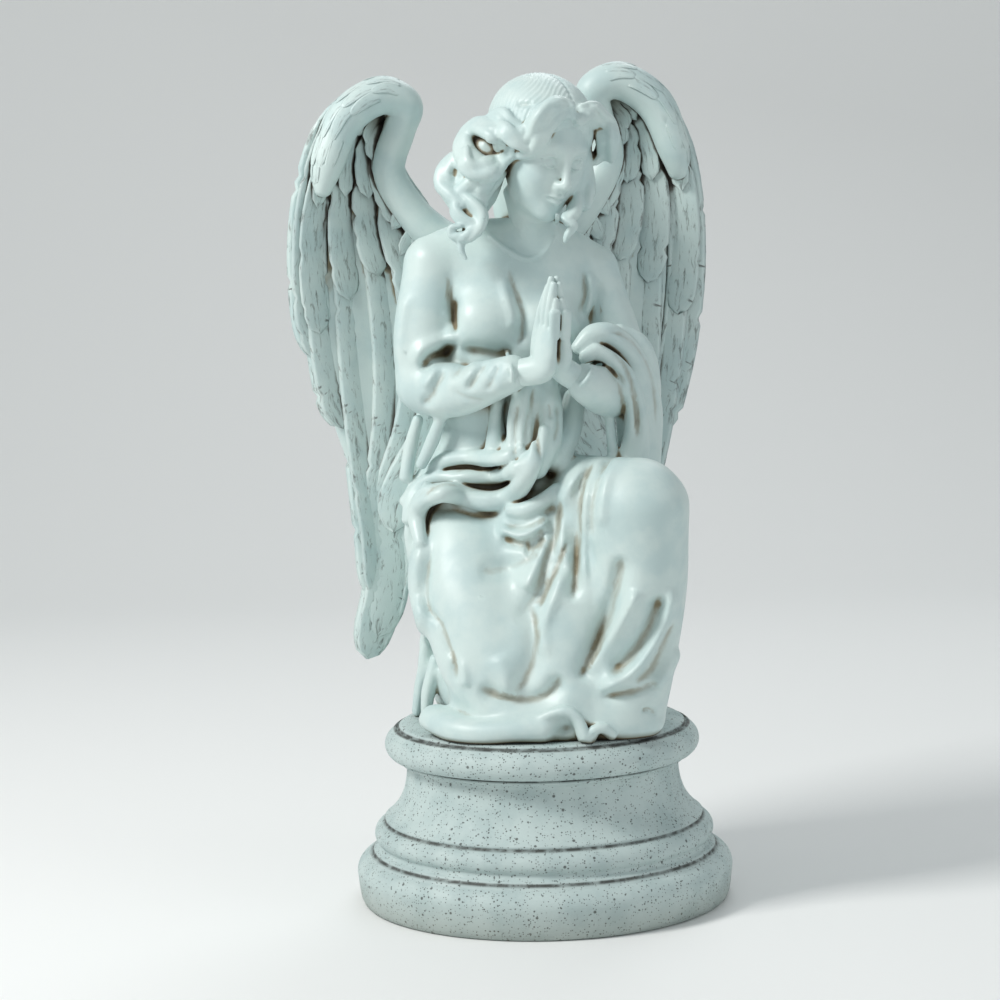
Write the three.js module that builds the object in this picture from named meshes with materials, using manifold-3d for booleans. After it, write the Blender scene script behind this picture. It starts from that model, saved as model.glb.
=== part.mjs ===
// A winged angel on one knee with hands folded in prayer, on a round moulded plinth, for a garden or
// a grave. Millimetres; +Z is up, the angel looks towards -Y, and the origin is the centre of the
// plinth's underside. The angel is one casting and the plinth is another: the angel stands on it.

import * as THREE from 'three';
import { LoftGeometry } from 'three/addons/geometries/LoftGeometry.js';
import { mergeVertices } from 'three/addons/utils/BufferGeometryUtils.js';
import Module from 'manifold-3d';

const wasm = await Module();
wasm.setup();

// Driving dimensions. Every point of the figure is measured up from the plinth's top.
const plinthHeight = 130;
const plinthRadius = 137;
const figureTurn = THREE.MathUtils.degToRad( 15 ); // the body faces a little to +X
const headTurn = THREE.MathUtils.degToRad( 32 );
const headBow = THREE.MathUtils.degToRad( 22 );
const headLean = THREE.MathUtils.degToRad( 6 );
const headCentre = new THREE.Vector3( 11, - 12, 421 );
const palmTurn = THREE.MathUtils.degToRad( 34 );
const skirtHeight = 202;
const frontCrowding = 0.3;
const pleatDepth = 2.5;
const pleatCount = 22;
const weldDistance = 1e-3;

const up = new THREE.Vector3( 0, 0, 1 );
const bodyAcross = new THREE.Vector3( Math.cos( figureTurn ), Math.sin( figureTurn ), 0 );
const bodyBack = new THREE.Vector3( - Math.sin( figureTurn ), Math.cos( figureTurn ), 0 );

// Solids: geometry in, geometry out, and booleans between.

function toSolid( geometry ) {

	const bare = geometry.index ? geometry.toNonIndexed() : geometry.clone();
	bare.deleteAttribute( 'normal' );
	bare.deleteAttribute( 'uv' );
	const welded = mergeVertices( bare, weldDistance );
	const faces = [];
	for ( let i = 0; i < welded.index.count; i += 3 ) {

		const [ a, b, c ] = [ 0, 1, 2 ].map( ( k ) => welded.index.getX( i + k ) );
		if ( a !== b && b !== c && c !== a ) faces.push( a, b, c );

	}

	return new wasm.Manifold( new wasm.Mesh( {
		numProp: 3,
		vertProperties: welded.attributes.position.array,
		triVerts: new Uint32Array( faces ),
	} ) );

}

function toGeometry( solid ) {

	const mesh = solid.getMesh();
	const geometry = new THREE.BufferGeometry();
	geometry.setAttribute( 'position', new THREE.BufferAttribute( mesh.vertProperties, 3 ) );
	geometry.setIndex( new THREE.BufferAttribute( mesh.triVerts, 1 ) );
	geometry.computeVertexNormals();
	return geometry;

}

const join = ( solids ) => solids.reduce( ( all, next ) => all.add( next ) );

// Keeps only the outermost closed surface, so pockets shut in between joined solids are filled.
const outerSkin = ( solid ) => solid.decompose().reduce( ( a, b ) => ( b.volume() > a.volume() ? b : a ) );

// Curves through a few named points, and values that change smoothly along them.

const point = ( [ x, y, z ] ) => new THREE.Vector3( x, y, z );

const curveThrough = ( points ) => new THREE.CatmullRomCurve3( points.map( point ), false, 'catmullrom' );

function valueAlong( values, t ) {

	const place = t * ( values.length - 1 );
	const low = Math.min( Math.floor( place ), values.length - 2 );
	return THREE.MathUtils.lerp( values[ low ], values[ low + 1 ], place - low );

}

// A ring of points round a path: half widths a, along the across direction, and b, square to it.
function ringAt( centre, tangent, across, a, b, sides ) {

	const first = across.clone().addScaledVector( tangent, - across.dot( tangent ) ).normalize();
	const second = new THREE.Vector3().crossVectors( tangent, first );
	return Array.from( { length: sides }, ( _, i ) => {

		const angle = 2 * Math.PI * i / sides;
		return centre.clone()
			.addScaledVector( first, a * Math.cos( angle ) )
			.addScaledVector( second, b * Math.sin( angle ) );

	} );

}

// A limb, trunk, fold or lock: an oval section swept along a path, with domed ends. half lists the
// section's half widths at each point of the path: one number each where the section is round.
function limb( { path, half, across = bodyAcross, sides = 7, perSpan = 1, domes = [ 0.7 ] } ) {

	const curve = curveThrough( path );
	const steps = perSpan * ( path.length - 1 );
	const widths = half.map( ( size ) => ( Array.isArray( size ) ? size : [ size, size ] ) );
	const sections = [];
	const addRing = ( t, scale, beyond ) => {

		const tangent = curve.getTangent( t ).normalize();
		const a = valueAlong( widths.map( ( pair ) => pair[ 0 ] ), t );
		const b = valueAlong( widths.map( ( pair ) => pair[ 1 ] ), t );
		const centre = curve.getPoint( t ).addScaledVector( tangent, beyond * Math.min( a, b ) );
		sections.push( ringAt( centre, tangent, across, a * scale, b * scale, sides ) );

	};

	const rise = ( scale ) => Math.sqrt( 1 - scale * scale );
	domes.forEach( ( scale ) => addRing( 0, scale, - rise( scale ) ) );
	for ( let i = 0; i <= steps; i ++ ) addRing( i / steps, 1, 0 );
	[ ...domes ].reverse().forEach( ( scale ) => addRing( 1, scale, rise( scale ) ) );
	return toSolid( new LoftGeometry( sections, { capStart: true, capEnd: true } ) );

}

function ball( centre, radii, around, down, pose = new THREE.Matrix4() ) {

	const round = new THREE.SphereGeometry( 1, around, down ).rotateX( Math.PI / 2 );
	round.scale( ...radii ).translate( ...centre ).applyMatrix4( pose );
	return toSolid( round );

}

// Shortest way, on the flat front view, from a point to a line drawn through others.
function distanceToLine( x, z, line ) {

	let best = Infinity;
	for ( let i = 1; i < line.length; i ++ ) {

		const [ ax, az ] = line[ i - 1 ];
		const [ bx, bz ] = line[ i ];
		const [ dx, dz ] = [ bx - ax, bz - az ];
		const along = ( ( x - ax ) * dx + ( z - az ) * dz ) / ( dx * dx + dz * dz );
		const t = THREE.MathUtils.clamp( along, 0, 1 );
		best = Math.min( best, Math.hypot( x - ax - t * dx, z - az - t * dz ) );

	}

	return best;

}

// Cloth drawn tight round a solid: at each height it touches the solid where that stands out, spans
// its hollows like a stretched sheet, and then takes the folds. Columns crowd towards the front.
function drape( solid, { heights, columns, axis, slack, folds } ) {

	const mesh = new THREE.Mesh( toGeometry( solid ) );
	const ray = new THREE.Raycaster();
	const far = 500;
	const directions = Array.from( { length: columns }, ( _, j ) => {

		const turn = 2 * Math.PI * j / columns; // 0 is the back
		const angle = Math.PI / 2 + turn + frontCrowding * Math.sin( turn );
		return new THREE.Vector3( Math.cos( angle ), Math.sin( angle ), 0 );

	} );
	let reach = heights.map( ( z ) => directions.map( ( direction ) => {

		const middle = axis.clone().setZ( Math.max( z, 0.5 ) );
		ray.set( middle.clone().addScaledVector( direction, far ), direction.clone().negate() );
		const [ hit ] = ray.intersectObject( mesh );
		return hit ? hit.point.distanceTo( middle ) : 1;

	} ) );
	for ( let pass = 0; pass < slack; pass ++ ) {

		reach = reach.map( ( row, i ) => row.map( ( own, j ) => {

			const beside = ( row[ ( j + 1 ) % columns ] + row[ ( j + columns - 1 ) % columns ] ) / 2;
			const above = reach[ Math.min( i + 1, heights.length - 1 ) ][ j ];
			const below = reach[ Math.max( i - 1, 0 ) ][ j ];
			return Math.max( own, 0.7 * beside + 0.15 * ( above + below ) );

		} ) );

	}

	const sections = heights.map( ( z, i ) => directions.map( ( direction, j ) => {

		const bare = axis.clone().addScaledVector( direction, reach[ i ][ j ] ).setZ( z );
		let raised = 0;
		if ( direction.y < 0.2 ) {

			for ( const { line, width, height } of folds ) {

				const off = distanceToLine( bare.x, z, line ) / width;
				raised += height * Math.exp( - off * off );

			}

		} else raised = pleatDepth * Math.sin( pleatCount * Math.atan2( direction.y, direction.x ) );

		return bare.addScaledVector( direction, raised );

	} ) );
	return toSolid( new LoftGeometry( sections, { capStart: true, capEnd: true } ) );

}

// A thick roll of cloth that follows a solid's front, thinner towards its two ends.
function rollOn( solid, { points, radius } ) {

	const mesh = new THREE.Mesh( toGeometry( solid ) );
	const inward = new THREE.Vector3( 0, 1, 0 );
	const ray = new THREE.Raycaster();
	const path = points.map( ( [ x, z ] ) => {

		const start = new THREE.Vector3( x, - 500, z );
		ray.set( start, inward );
		const [ hit ] = ray.intersectObject( mesh );
		return ( hit ? hit.point : start.setY( 0 ) ).addScaledVector( inward, 0.3 * radius ).toArray();

	} );
	const half = path.map( ( _, i ) => radius * ( i === 0 || i === path.length - 1 ? 0.6 : 1 ) );
	return limb( { path, half, sides: 5, across: new THREE.Vector3( 1, 0, 1 ) } );

}

// Body: trunk, legs under the skirt, arms in their sleeves.

function trunk() {

	return [
		limb( { // from the waist up to the base of the neck
			path: [ [ - 26, 26, 175 ], [ - 24, 18, 215 ], [ - 16, 10, 275 ], [ - 9, 12, 322 ], [ - 5, 14, 348 ] ],
			half: [ [ 60, 46 ], [ 46, 36 ], [ 55, 37 ], [ 58, 29 ], [ 34, 22 ] ],
			sides: 10,
		} ),
		limb( { // breast
			path: [ [ - 44, - 6, 284 ], [ - 14, - 2, 288 ], [ 18, 2, 288 ] ],
			half: [ [ 27, 21 ], [ 25, 19 ], [ 25, 20 ] ], across: up, sides: 8,
		} ),
		limb( { // shoulders
			path: [ [ - 72, 4, 334 ], [ - 40, 12, 344 ], [ 14, 26, 341 ], [ 46, 36, 325 ] ],
			half: [ 20, [ 19, 17 ], [ 19, 17 ], 20 ], across: bodyBack,
		} ),
	];

}

function skirt() {

	return [
		limb( { // kneeling thigh
			path: [ [ - 50, 18, 150 ], [ - 48, - 22, 105 ], [ - 38, - 46, 62 ], [ - 30, - 54, 30 ] ],
			half: [ 40, [ 42, 38 ], [ 44, 36 ], [ 46, 38 ] ], sides: 12,
		} ),
		limb( { // kneeling shin and the cloth over it
			path: [ [ - 32, - 40, 24 ], [ - 42, 20, 34 ], [ - 46, 76, 24 ] ],
			half: [ [ 46, 26 ], [ 48, 38 ], [ 40, 24 ] ], sides: 10,
		} ),
		limb( { // cloth behind, from the seat to the hem
			path: [ [ - 28, 32, 165 ], [ - 20, 50, 100 ], [ - 10, 60, 16 ] ],
			half: [ [ 60, 48 ], [ 62, 46 ], [ 68, 38 ] ], sides: 10,
		} ),
		limb( { // raised thigh
			path: [ [ - 2, 34, 150 ], [ 36, - 18, 158 ], [ 70, - 70, 162 ] ],
			half: [ 42, [ 37, 36 ], [ 33, 32 ] ], sides: 10,
		} ),
		limb( { // raised shin and the cloth over it
			path: [ [ 72, - 72, 162 ], [ 72, - 66, 110 ], [ 66, - 60, 60 ], [ 54, - 58, 16 ] ],
			half: [ 34, [ 33, 34 ], [ 32, 34 ], [ 40, 36 ] ], sides: 12, domes: [ 0.4, 0.8 ],
		} ),
		limb( { // cloth stretched between the knees
			path: [ [ 8, - 10, 150 ], [ 24, - 42, 114 ], [ 16, - 55, 62 ], [ 10, - 58, 14 ] ],
			half: [ [ 44, 34 ], [ 46, 30 ], [ 44, 32 ], [ 50, 36 ] ], sides: 10,
		} ),
		limb( { // cloth at the far side, under the raised thigh
			path: [ [ 30, 24, 130 ], [ 40, 6, 80 ], [ 40, 4, 14 ] ],
			half: [ [ 32, 40 ], [ 36, 50 ], [ 40, 54 ] ], sides: 8,
		} ),
		limb( { // foot under the hem
			path: [ [ 58, - 56, 14 ], [ 64, - 70, 9 ], [ 68, - 78, 6 ] ],
			half: [ [ 24, 14 ], [ 22, 12 ], [ 15, 8 ] ],
		} ),
	];

}

function arms() {

	return [
		limb( { // right upper arm
			path: [ [ - 70, 4, 334 ], [ - 78, - 2, 284 ], [ - 78, - 6, 246 ] ],
			half: [ 21, [ 20.5, 23 ], [ 20, 21 ] ], sides: 8,
		} ),
		limb( { // right forearm, across the chest
			path: [ [ - 77, - 8, 246 ], [ - 48, - 34, 243 ], [ - 22, - 56, 252 ], [ - 4, - 67, 260 ] ],
			half: [ [ 21, 20 ], [ 18, 20 ], [ 14, 16 ], [ 11, 12 ] ], across: up, sides: 8,
		} ),
		limb( { // left upper arm
			path: [ [ 44, 34, 326 ], [ 57, 30, 286 ], [ 68, 20, 250 ] ],
			half: [ 20, [ 20, 22 ], [ 20, 21 ] ], sides: 8,
		} ),
		limb( { // left forearm
			path: [ [ 68, 14, 246 ], [ 56, - 22, 240 ], [ 42, - 50, 244 ], [ 34, - 64, 250 ] ],
			half: [ [ 21, 20 ], [ 18, 19 ], [ 14, 15 ], 12 ], across: up, sides: 8,
		} ),
	];

}

// The skirt's folds, drawn on the front view: ridges stand out and valleys sink in.
const skirtFolds = [
	{ width: 11, height: - 8, line: [ [ - 50, 142 ], [ - 24, 134 ], [ 4, 142 ] ] }, // lap
	{ width: 11, height: - 9, line: [ [ 24, 186 ], [ 24, 130 ], [ 14, 80 ], [ - 4, 34 ] ] }, // between the knees
	{ width: 9, height: 5, line: [ [ 42, 188 ], [ 38, 130 ], [ 28, 80 ], [ 12, 26 ] ] }, // raised leg
	{ width: 9, height: 4, line: [ [ 76, 120 ], [ 60, 74 ], [ 36, 34 ], [ 24, 12 ] ] },
	{ width: 9, height: - 5, line: [ [ 90, 104 ], [ 74, 58 ], [ 48, 26 ] ] },
	{ width: 10, height: 4, line: [ [ - 80, 140 ], [ - 84, 90 ], [ - 76, 44 ], [ - 60, 14 ] ] }, // kneeling leg
	{ width: 10, height: - 5, line: [ [ - 62, 130 ], [ - 66, 80 ], [ - 58, 36 ] ] },
];
const mantleRolls = [
	{ radius: 8, points: [ [ - 74, 186 ], [ - 40, 194 ], [ - 10, 204 ], [ 2, 228 ], [ - 6, 252 ] ] },
	{ radius: 9, points: [ [ - 76, 172 ], [ - 40, 177 ], [ - 8, 184 ], [ 10, 206 ], [ 9, 246 ] ] },
	{ radius: 8, points: [ [ - 78, 158 ], [ - 47, 158 ], [ - 14, 166 ], [ 12, 184 ], [ 24, 204 ] ] },
	{ radius: 6, points: [ [ - 14, 262 ], [ - 18, 234 ], [ - 12, 210 ] ] },
];
const neckline = {
	radius: 2.6, points: [ [ - 26, 348 ], [ - 15, 338 ], [ 0, 332 ], [ 14, 338 ], [ 22, 346 ] ],
};
const freeFolds = [
	{ half: [ 7, 10, 9, 6 ], // over the right hip
		path: [ [ - 66, - 30, 172 ], [ - 82, - 14, 162 ], [ - 90, - 2, 132 ], [ - 86, 4, 98 ] ] },
	{ half: [ 6, 10, 11, 11, 9 ], // over the left forearm and down to the lap
		path: [ [ 32, - 40, 270 ], [ 52, - 30, 277 ], [ 73, - 14, 258 ], [ 80, - 8, 222 ], [ 76, - 18, 182 ] ] },
	{ half: [ 5, 8, 8, 8 ],
		path: [ [ 38, - 50, 258 ], [ 56, - 38, 262 ], [ 68, - 28, 236 ], [ 64, - 34, 186 ] ] },
	{ half: [ 3, 5, 5, 3 ], // hem at the right knee
		path: [ [ - 72, - 66, 14 ], [ - 58, - 82, 9 ], [ - 38, - 92, 10 ], [ - 18, - 90, 20 ] ] },
	{ half: [ 2.5, 4, 4.5, 3 ], // hem curls between the feet
		path: [ [ 4, - 96, 5 ], [ 14, - 98, 15 ], [ 24, - 98, 17 ], [ 33, - 99, 3 ] ] },
	{ half: [ 2.5, 3, 2.5 ], path: [ [ 34, - 97, 3 ], [ 40, - 97, 10 ], [ 47, - 94, 3 ] ] },
];

// Hands: the palms touch in an upright plane. Across the hands points from the left hand to the right.
const handAcross = new THREE.Vector3( - Math.cos( palmTurn ), - Math.sin( palmTurn ), 0 );
const handForward = new THREE.Vector3( Math.sin( palmTurn ), - Math.cos( palmTurn ), 0 );
const handHeel = new THREE.Vector3( 13, - 68, 256 );
const fingerPitch = 5;
const palmOverlap = 0.4; // the palms press together
const fingerTips = new THREE.Vector3( 17, - 88, 322 );

// One hand: the palm and wrist, the four fingers as one ridged blade, and the thumb.
function hand( side ) {

	const rise = fingerTips.clone().sub( handHeel );
	const at = ( share, outward, forward ) => handHeel.clone()
		.addScaledVector( rise, share )
		.addScaledVector( handAcross, side * outward )
		.addScaledVector( handForward, forward );
	const path = ( places ) => places.map( ( place ) => at( ...place ).toArray() );
	const reach = [ 0.86, 0.97, 1, 0.93 ]; // little finger last
	const columns = reach.flatMap( ( length, i ) => [
		{ forward: 2 - i, length: length - 0.05, thick: 4.4 },
		{ forward: 1.5 - i, length, thick: 7.6 },
	] ).concat( { forward: - 2, length: 0.88, thick: 4.4 } );
	const stations = [ [ 0, 0, 1 ], [ 0, 1, 1 ], [ 0.5, 0.9, 0.9 ], [ 1, 0.5, 0.6 ], [ 1, 0, 0.6 ] ];
	const sections = stations.map( ( [ t, open, spread ] ) => {

		const lay = ( { forward, length, thick }, out ) => at(
			THREE.MathUtils.lerp( 0.36, length, t ),
			( out ? thick * open : 0 ) - palmOverlap,
			forward * fingerPitch * spread,
		);
		const ring = [
			...columns.map( ( column ) => lay( column, true ) ),
			...columns.map( ( column ) => lay( column, false ) ).reverse(),
		];
		return side > 0 ? ring.reverse() : ring;

	} );
	return [
		toSolid( new LoftGeometry( sections ) ),
		limb( { // palm and wrist
			path: path( [ [ - 0.22, 9, - 2 ], [ 0.1, 7, 1 ], [ 0.5, 4.5, 0 ] ] ),
			half: [ 9, [ 7, 13 ], [ 4, 10 ] ], across: handAcross, sides: 6,
		} ),
		limb( { // thumb
			path: path( [ [ 0.05, 6, 9 ], [ 0.3, 4, 12 ], [ 0.55, 3, 9 ] ] ),
			half: [ 5, 3.8, 3 ], across: handAcross, sides: 4,
		} ),
	];

}

// Head: its own axes are X to the side, -Y out of the face and Z to the crown.
const headPose = new THREE.Matrix4()
	.makeTranslation( headCentre.x, headCentre.y, headCentre.z )
	.multiply( new THREE.Matrix4().makeRotationZ( headTurn ) )
	.multiply( new THREE.Matrix4().makeRotationX( headBow ) )
	.multiply( new THREE.Matrix4().makeRotationY( headLean ) );

const onHead = ( local ) => point( local ).applyMatrix4( headPose ).toArray();
const headUp = new THREE.Vector3( 0, 0, 1 ).transformDirection( headPose );
const headSide = new THREE.Vector3( 1, 0, 0 ).transformDirection( headPose );

function head() {

	return [
		limb( { path: [ [ - 3, 10, 330 ], [ 2, 4, 362 ], [ 8, - 2, 390 ] ], half: [ 25, 17, 18 ] } ), // neck
		ball( [ 0, - 7, - 8 ], [ 28, 31, 36 ], 9, 7, headPose ), // face
		ball( [ 0, - 20, - 34 ], [ 15, 15, 18 ], 8, 6, headPose ), // jaw and chin
		limb( { // nose
			path: [ [ 0, - 35, 2 ], [ 0, - 40, - 8 ], [ 0, - 42, - 15 ] ].map( onHead ),
			half: [ 2.6, 3, 4.4 ], across: headSide, sides: 4,
		} ),
		limb( { // lips
			path: [ [ - 8, - 33, - 25 ], [ 0, - 36, - 24 ], [ 8, - 33, - 25 ] ].map( onHead ),
			half: [ 1.5, 2.8, 1.5 ], across: headUp, sides: 4,
		} ),
	];

}

// Hair: a cap from a middle parting, waves drawn back over the ears, and curls that fall on the breast.
const headWaves = [
	{ size: 6, path: [ [ 1, - 37, 20 ], [ - 15, - 34, 12 ], [ - 28, - 22, 2 ], [ - 40, 0, - 7 ] ] },
	{ size: 6.5, path: [ [ - 2, - 33, 28 ], [ - 18, - 30, 21 ], [ - 32, - 17, 11 ], [ - 42, 6, 1 ] ] },
	{ size: 6, path: [ [ 2, - 37, 20 ], [ 17, - 35, 17 ], [ 29, - 24, 3 ], [ 33, - 6, - 13 ] ] },
	{ size: 6.5, path: [ [ 3, - 33, 28 ], [ 20, - 30, 24 ], [ 34, - 14, 9 ], [ 37, 5, - 8 ] ] },
];
const looseCurls = [
	{ half: [ 10, 12, 11, 9 ],
		path: [ [ - 10, - 34, 408 ], [ - 26, - 32, 412 ], [ - 42, - 22, 412 ], [ - 50, - 12, 400 ] ] },
	{ half: [ 9, 11, 10, 8 ],
		path: [ [ - 16, - 32, 398 ], [ - 34, - 30, 394 ], [ - 45, - 22, 386 ], [ - 44, - 22, 372 ] ] },
	{ half: [ 8, 7, 6, 5, 3 ], // the loose end turns up
		path: [ [ - 40, - 26, 378 ], [ - 32, - 30, 366 ], [ - 29, - 32, 354 ], [ - 39, - 32, 344 ], [ - 48, - 32, 350 ] ] },
	{ half: [ 4, 3.5, 2 ], path: [ [ - 33, - 33, 350 ], [ - 36, - 33, 340 ], [ - 33, - 33, 331 ] ] },
	{ half: [ 5, 5, 4, 2 ], path: [ [ 35, 0, 402 ], [ 39, - 14, 382 ], [ 41, - 20, 362 ], [ 37, - 21, 346 ] ] },
];

function hair() {

	const waves = headWaves.map( ( { path, size } ) => limb( {
		path: path.map( onHead ), half: path.map( ( _, i ) => ( i ? size : 0.6 * size ) ),
		across: headUp, sides: 5,
	} ) );
	const curls = looseCurls.map( ( lock ) => limb( { ...lock, sides: 5 } ) );
	const nape = limb( { // the mass of hair down the back of the neck
		path: [ [ 12, 26, 430 ], [ 6, 32, 396 ], [ 2, 34, 366 ], [ - 2, 38, 346 ] ],
		half: [ [ 30, 12 ], [ 34, 16 ], [ 26, 12 ], [ 12, 5 ] ], across: bodyAcross,
	} );
	return [ ball( [ 0, 6, 8 ], [ 37, 42, 36 ], 10, 8, headPose ), ...waves, ...curls, nape ];

}

// Wings: both are the same leaf-shaped sheet, measured from the spine as distance out, distance back
// and height, from the top edge down to the tip. side is -1 for the right wing and 1 for the left.
const spine = new THREE.Vector3( - 10, 25, 0 );
const wingOuterEdge = curveThrough( [
	[ 84, 38, 462 ], [ 124, 34, 448 ], [ 149, 36, 395 ], [ 157, 44, 330 ], [ 151, 50, 266 ],
	[ 134, 50, 212 ], [ 112, 48, 155 ], [ 108, 44, 96 ], [ 124, 38, 38 ],
] );
const wingInnerEdge = curveThrough( [
	[ 66, 40, 448 ], [ 76, 44, 404 ], [ 52, 42, 362 ], [ 32, 40, 318 ], [ 26, 40, 262 ],
	[ 44, 44, 208 ], [ 80, 48, 156 ], [ 84, 46, 104 ], [ 101, 40, 46 ],
] );
const wingHollow = 16;
const wingThickness = 9;
const wingTopLift = { [ - 1 ]: 0, 1: 8 }; // the left wing is carried a little higher

function placeOnWing( measured, side ) {

	return spine.clone()
		.addScaledVector( bodyAcross, side * measured.x )
		.addScaledVector( bodyBack, measured.y )
		.setZ( measured.z + wingTopLift[ side ] * measured.z / plinthHeight / 3 );

}

// A point of the sheet: s runs from its inner edge to its outer edge, and v from top to tip.
function wingSheet( s, v, side ) {

	const within = THREE.MathUtils.clamp( v, 0, 1 );
	const inner = wingInnerEdge.getPoint( within );
	const outer = wingOuterEdge.getPoint( within );
	const measured = inner.lerp( outer, s );
	measured.y += wingHollow * Math.sin( Math.PI * THREE.MathUtils.clamp( s, 0, 1 ) ) * ( 1 - v );
	return placeOnWing( measured, side );

}

function wingNormal( s, v, side ) {

	const step = 0.01;
	const low = Math.min( v, 1 - step );
	const alongS = wingSheet( s + step, low, side ).sub( wingSheet( s - step, low, side ) );
	const alongV = wingSheet( s, low + step, side ).sub( wingSheet( s, low, side ) );
	const normal = new THREE.Vector3().crossVectors( alongS, alongV ).normalize();
	return normal.dot( bodyBack ) > 0 ? normal.negate() : normal; // towards the front

}

// A row of feathers as one solid, each lapping the next. root and tip list, from the outer edge of
// the wing to the inner, where the feathers start and end; fall is how far a tip's corners are cut
// back. It stands from one height over the sheet to another, and thins away at both its ends.
function featherRow( { side, face, count, under, over, root, tip, fall } ) {

	const columns = [];
	for ( let i = 0; i < count; i ++ ) {

		const middle = ( i + 0.5 ) / count;
		columns.push(
			{ place: ( i + 0.03 ) / count, middle, cornerFall: fall, lap: - 1.5 },
			{ place: middle, middle, cornerFall: 0, lap: 1 },
			{ place: ( i + 0.97 ) / count, middle, cornerFall: fall, lap: 0.8 },
		);

	}

	const stations = [ [ 0, 0 ], [ 0, 1 ], [ 0.5, 1 ], [ 0.88, 1 ], [ 1, 0.7 ], [ 1, 0 ] ];
	const sections = stations.map( ( [ t, open ] ) => {

		const lay = ( { place, middle, cornerFall, lap }, high ) => {

			const narrowed = THREE.MathUtils.lerp( place, middle, t === 1 ? 0.35 : 0 );
			const end = valueAlong( tip.v, middle ) - ( t === 1 ? cornerFall : 0 );
			const s = THREE.MathUtils.lerp( valueAlong( root.s, narrowed ), valueAlong( tip.s, narrowed ), t );
			const v = THREE.MathUtils.lerp( valueAlong( root.v, place ), end, t );
			const height = THREE.MathUtils.lerp( under, high ? over + lap : under, open );
			return wingSheet( s, v, side ).addScaledVector( wingNormal( s, v, side ), face * height );

		};

		const ring = [
			...columns.map( ( column ) => lay( column, true ) ),
			...columns.map( ( column ) => lay( column, false ) ).reverse(),
		];
		return side * face > 0 ? ring : ring.reverse();

	} );
	return toSolid( new LoftGeometry( sections ) );

}

// Rows of feathers. The long flight feathers are the wing's whole thickness and reach up to its top;
// the long coverts lie over them on both faces.
const half = wingThickness / 2;
const featherRows = [
	{ face: 1, count: 5, under: - half, over: half, fall: 0.03,
		root: { s: [ 0.96, 0.04 ], v: [ 0.03, 0.03 ] },
		tip: { s: [ 1, 0.98, 0.96, 0.5, 0.06, 0.02 ], v: [ 0.5, 0.62, 0.9, 1, 1, 0.75 ] } },
	{ face: 1, count: 4, under: - half - 2.5, over: half + 3, fall: 0.03,
		root: { s: [ 0.96, 0.08 ], v: [ 0.14, 0.24 ] }, tip: { s: [ 0.98, 0.02 ], v: [ 0.43, 0.4, 0.52 ] } },
	{ face: 1, count: 3, under: 0, over: half + 6, fall: 0.02,
		root: { s: [ 0.9, 0.15 ], v: [ 0.06, 0.12 ] }, tip: { s: [ 0.9, 0.12 ], v: [ 0.29, 0.26, 0.3 ] } },
];

function wing( side ) {

	const solids = featherRows.map( ( row ) => featherRow( { side, ...row } ) );
	const arm = [ // the thick leading edge: from the back, up over the top and down outside
		[ 12, 18, 330 ], [ 40, 36, 346 ], [ 66, 40, 370 ], [ 84, 42, 402 ], [ 76, 40, 432 ], [ 72, 36, 450 ],
		[ 92, 32, 457 ], [ 118, 30, 440 ], [ 132, 30, 408 ], [ 136, 32, 390 ],
	];
	solids.push( limb( {
		path: arm.map( ( p ) => placeOnWing( point( p ), side ).toArray() ),
		half: [ 16, [ 18, 16 ], 13, [ 11, 12 ], 12, [ 14, 13 ], 14, 14, [ 13, 12 ], [ 9, 8 ] ],
		across: bodyBack, sides: 6, perSpan: 2,
	} ) );
	const root = [ [ 16, 16, 324 ], [ 24, 28, 296 ], [ 26, 30, 250 ], [ 34, 36, 210 ] ]; // joins the back
	solids.push( limb( {
		path: root.map( ( p ) => placeOnWing( point( p ), side ).toArray() ), half: [ 16, 15, 13, 8 ],
		across: bodyBack, sides: 6,
	} ) );
	return solids;

}

// Plinth: a round base turned from one profile, with a cove between two sets of mouldings.
function plinth() {

	const bead = ( radius, height, size, from, to, count ) => Array.from( { length: count }, ( _, i ) => {

		const angle = THREE.MathUtils.degToRad( THREE.MathUtils.lerp( from, to, i / ( count - 1 ) ) );
		return new THREE.Vector2( radius + size * Math.cos( angle ), height + size * Math.sin( angle ) );

	} );
	const cove = new THREE.QuadraticBezierCurve(
		new THREE.Vector2( 117, 61 ), new THREE.Vector2( 99, 74 ), new THREE.Vector2( 98, 99 ),
	).getPoints( 3 );
	const profile = [
		new THREE.Vector2( 0, 0 ),
		new THREE.Vector2( plinthRadius - 3, 0 ),
		new THREE.Vector2( plinthRadius, 10 ),
		...bead( plinthRadius - 12, 23, 12, 0, 78, 3 ),
		new THREE.Vector2( 125.5, 39 ),
		new THREE.Vector2( 119, 41 ),
		...bead( 116.5, 50, 8, - 55, 75, 3 ),
		...cove,
		new THREE.Vector2( 104, 101 ),
		new THREE.Vector2( 104.5, 105 ),
		...bead( 104.5, 115.5, 10.5, - 62, 72, 4 ),
		new THREE.Vector2( 106, 128 ),
		new THREE.Vector2( 103, plinthHeight ),
		new THREE.Vector2( 0, plinthHeight ),
	];
	const turned = new THREE.LatheGeometry( profile, 36 );
	turned.rotateX( Math.PI / 2 ); // the lathe turns about Y
	return toGeometry( toSolid( turned ) );

}

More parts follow.
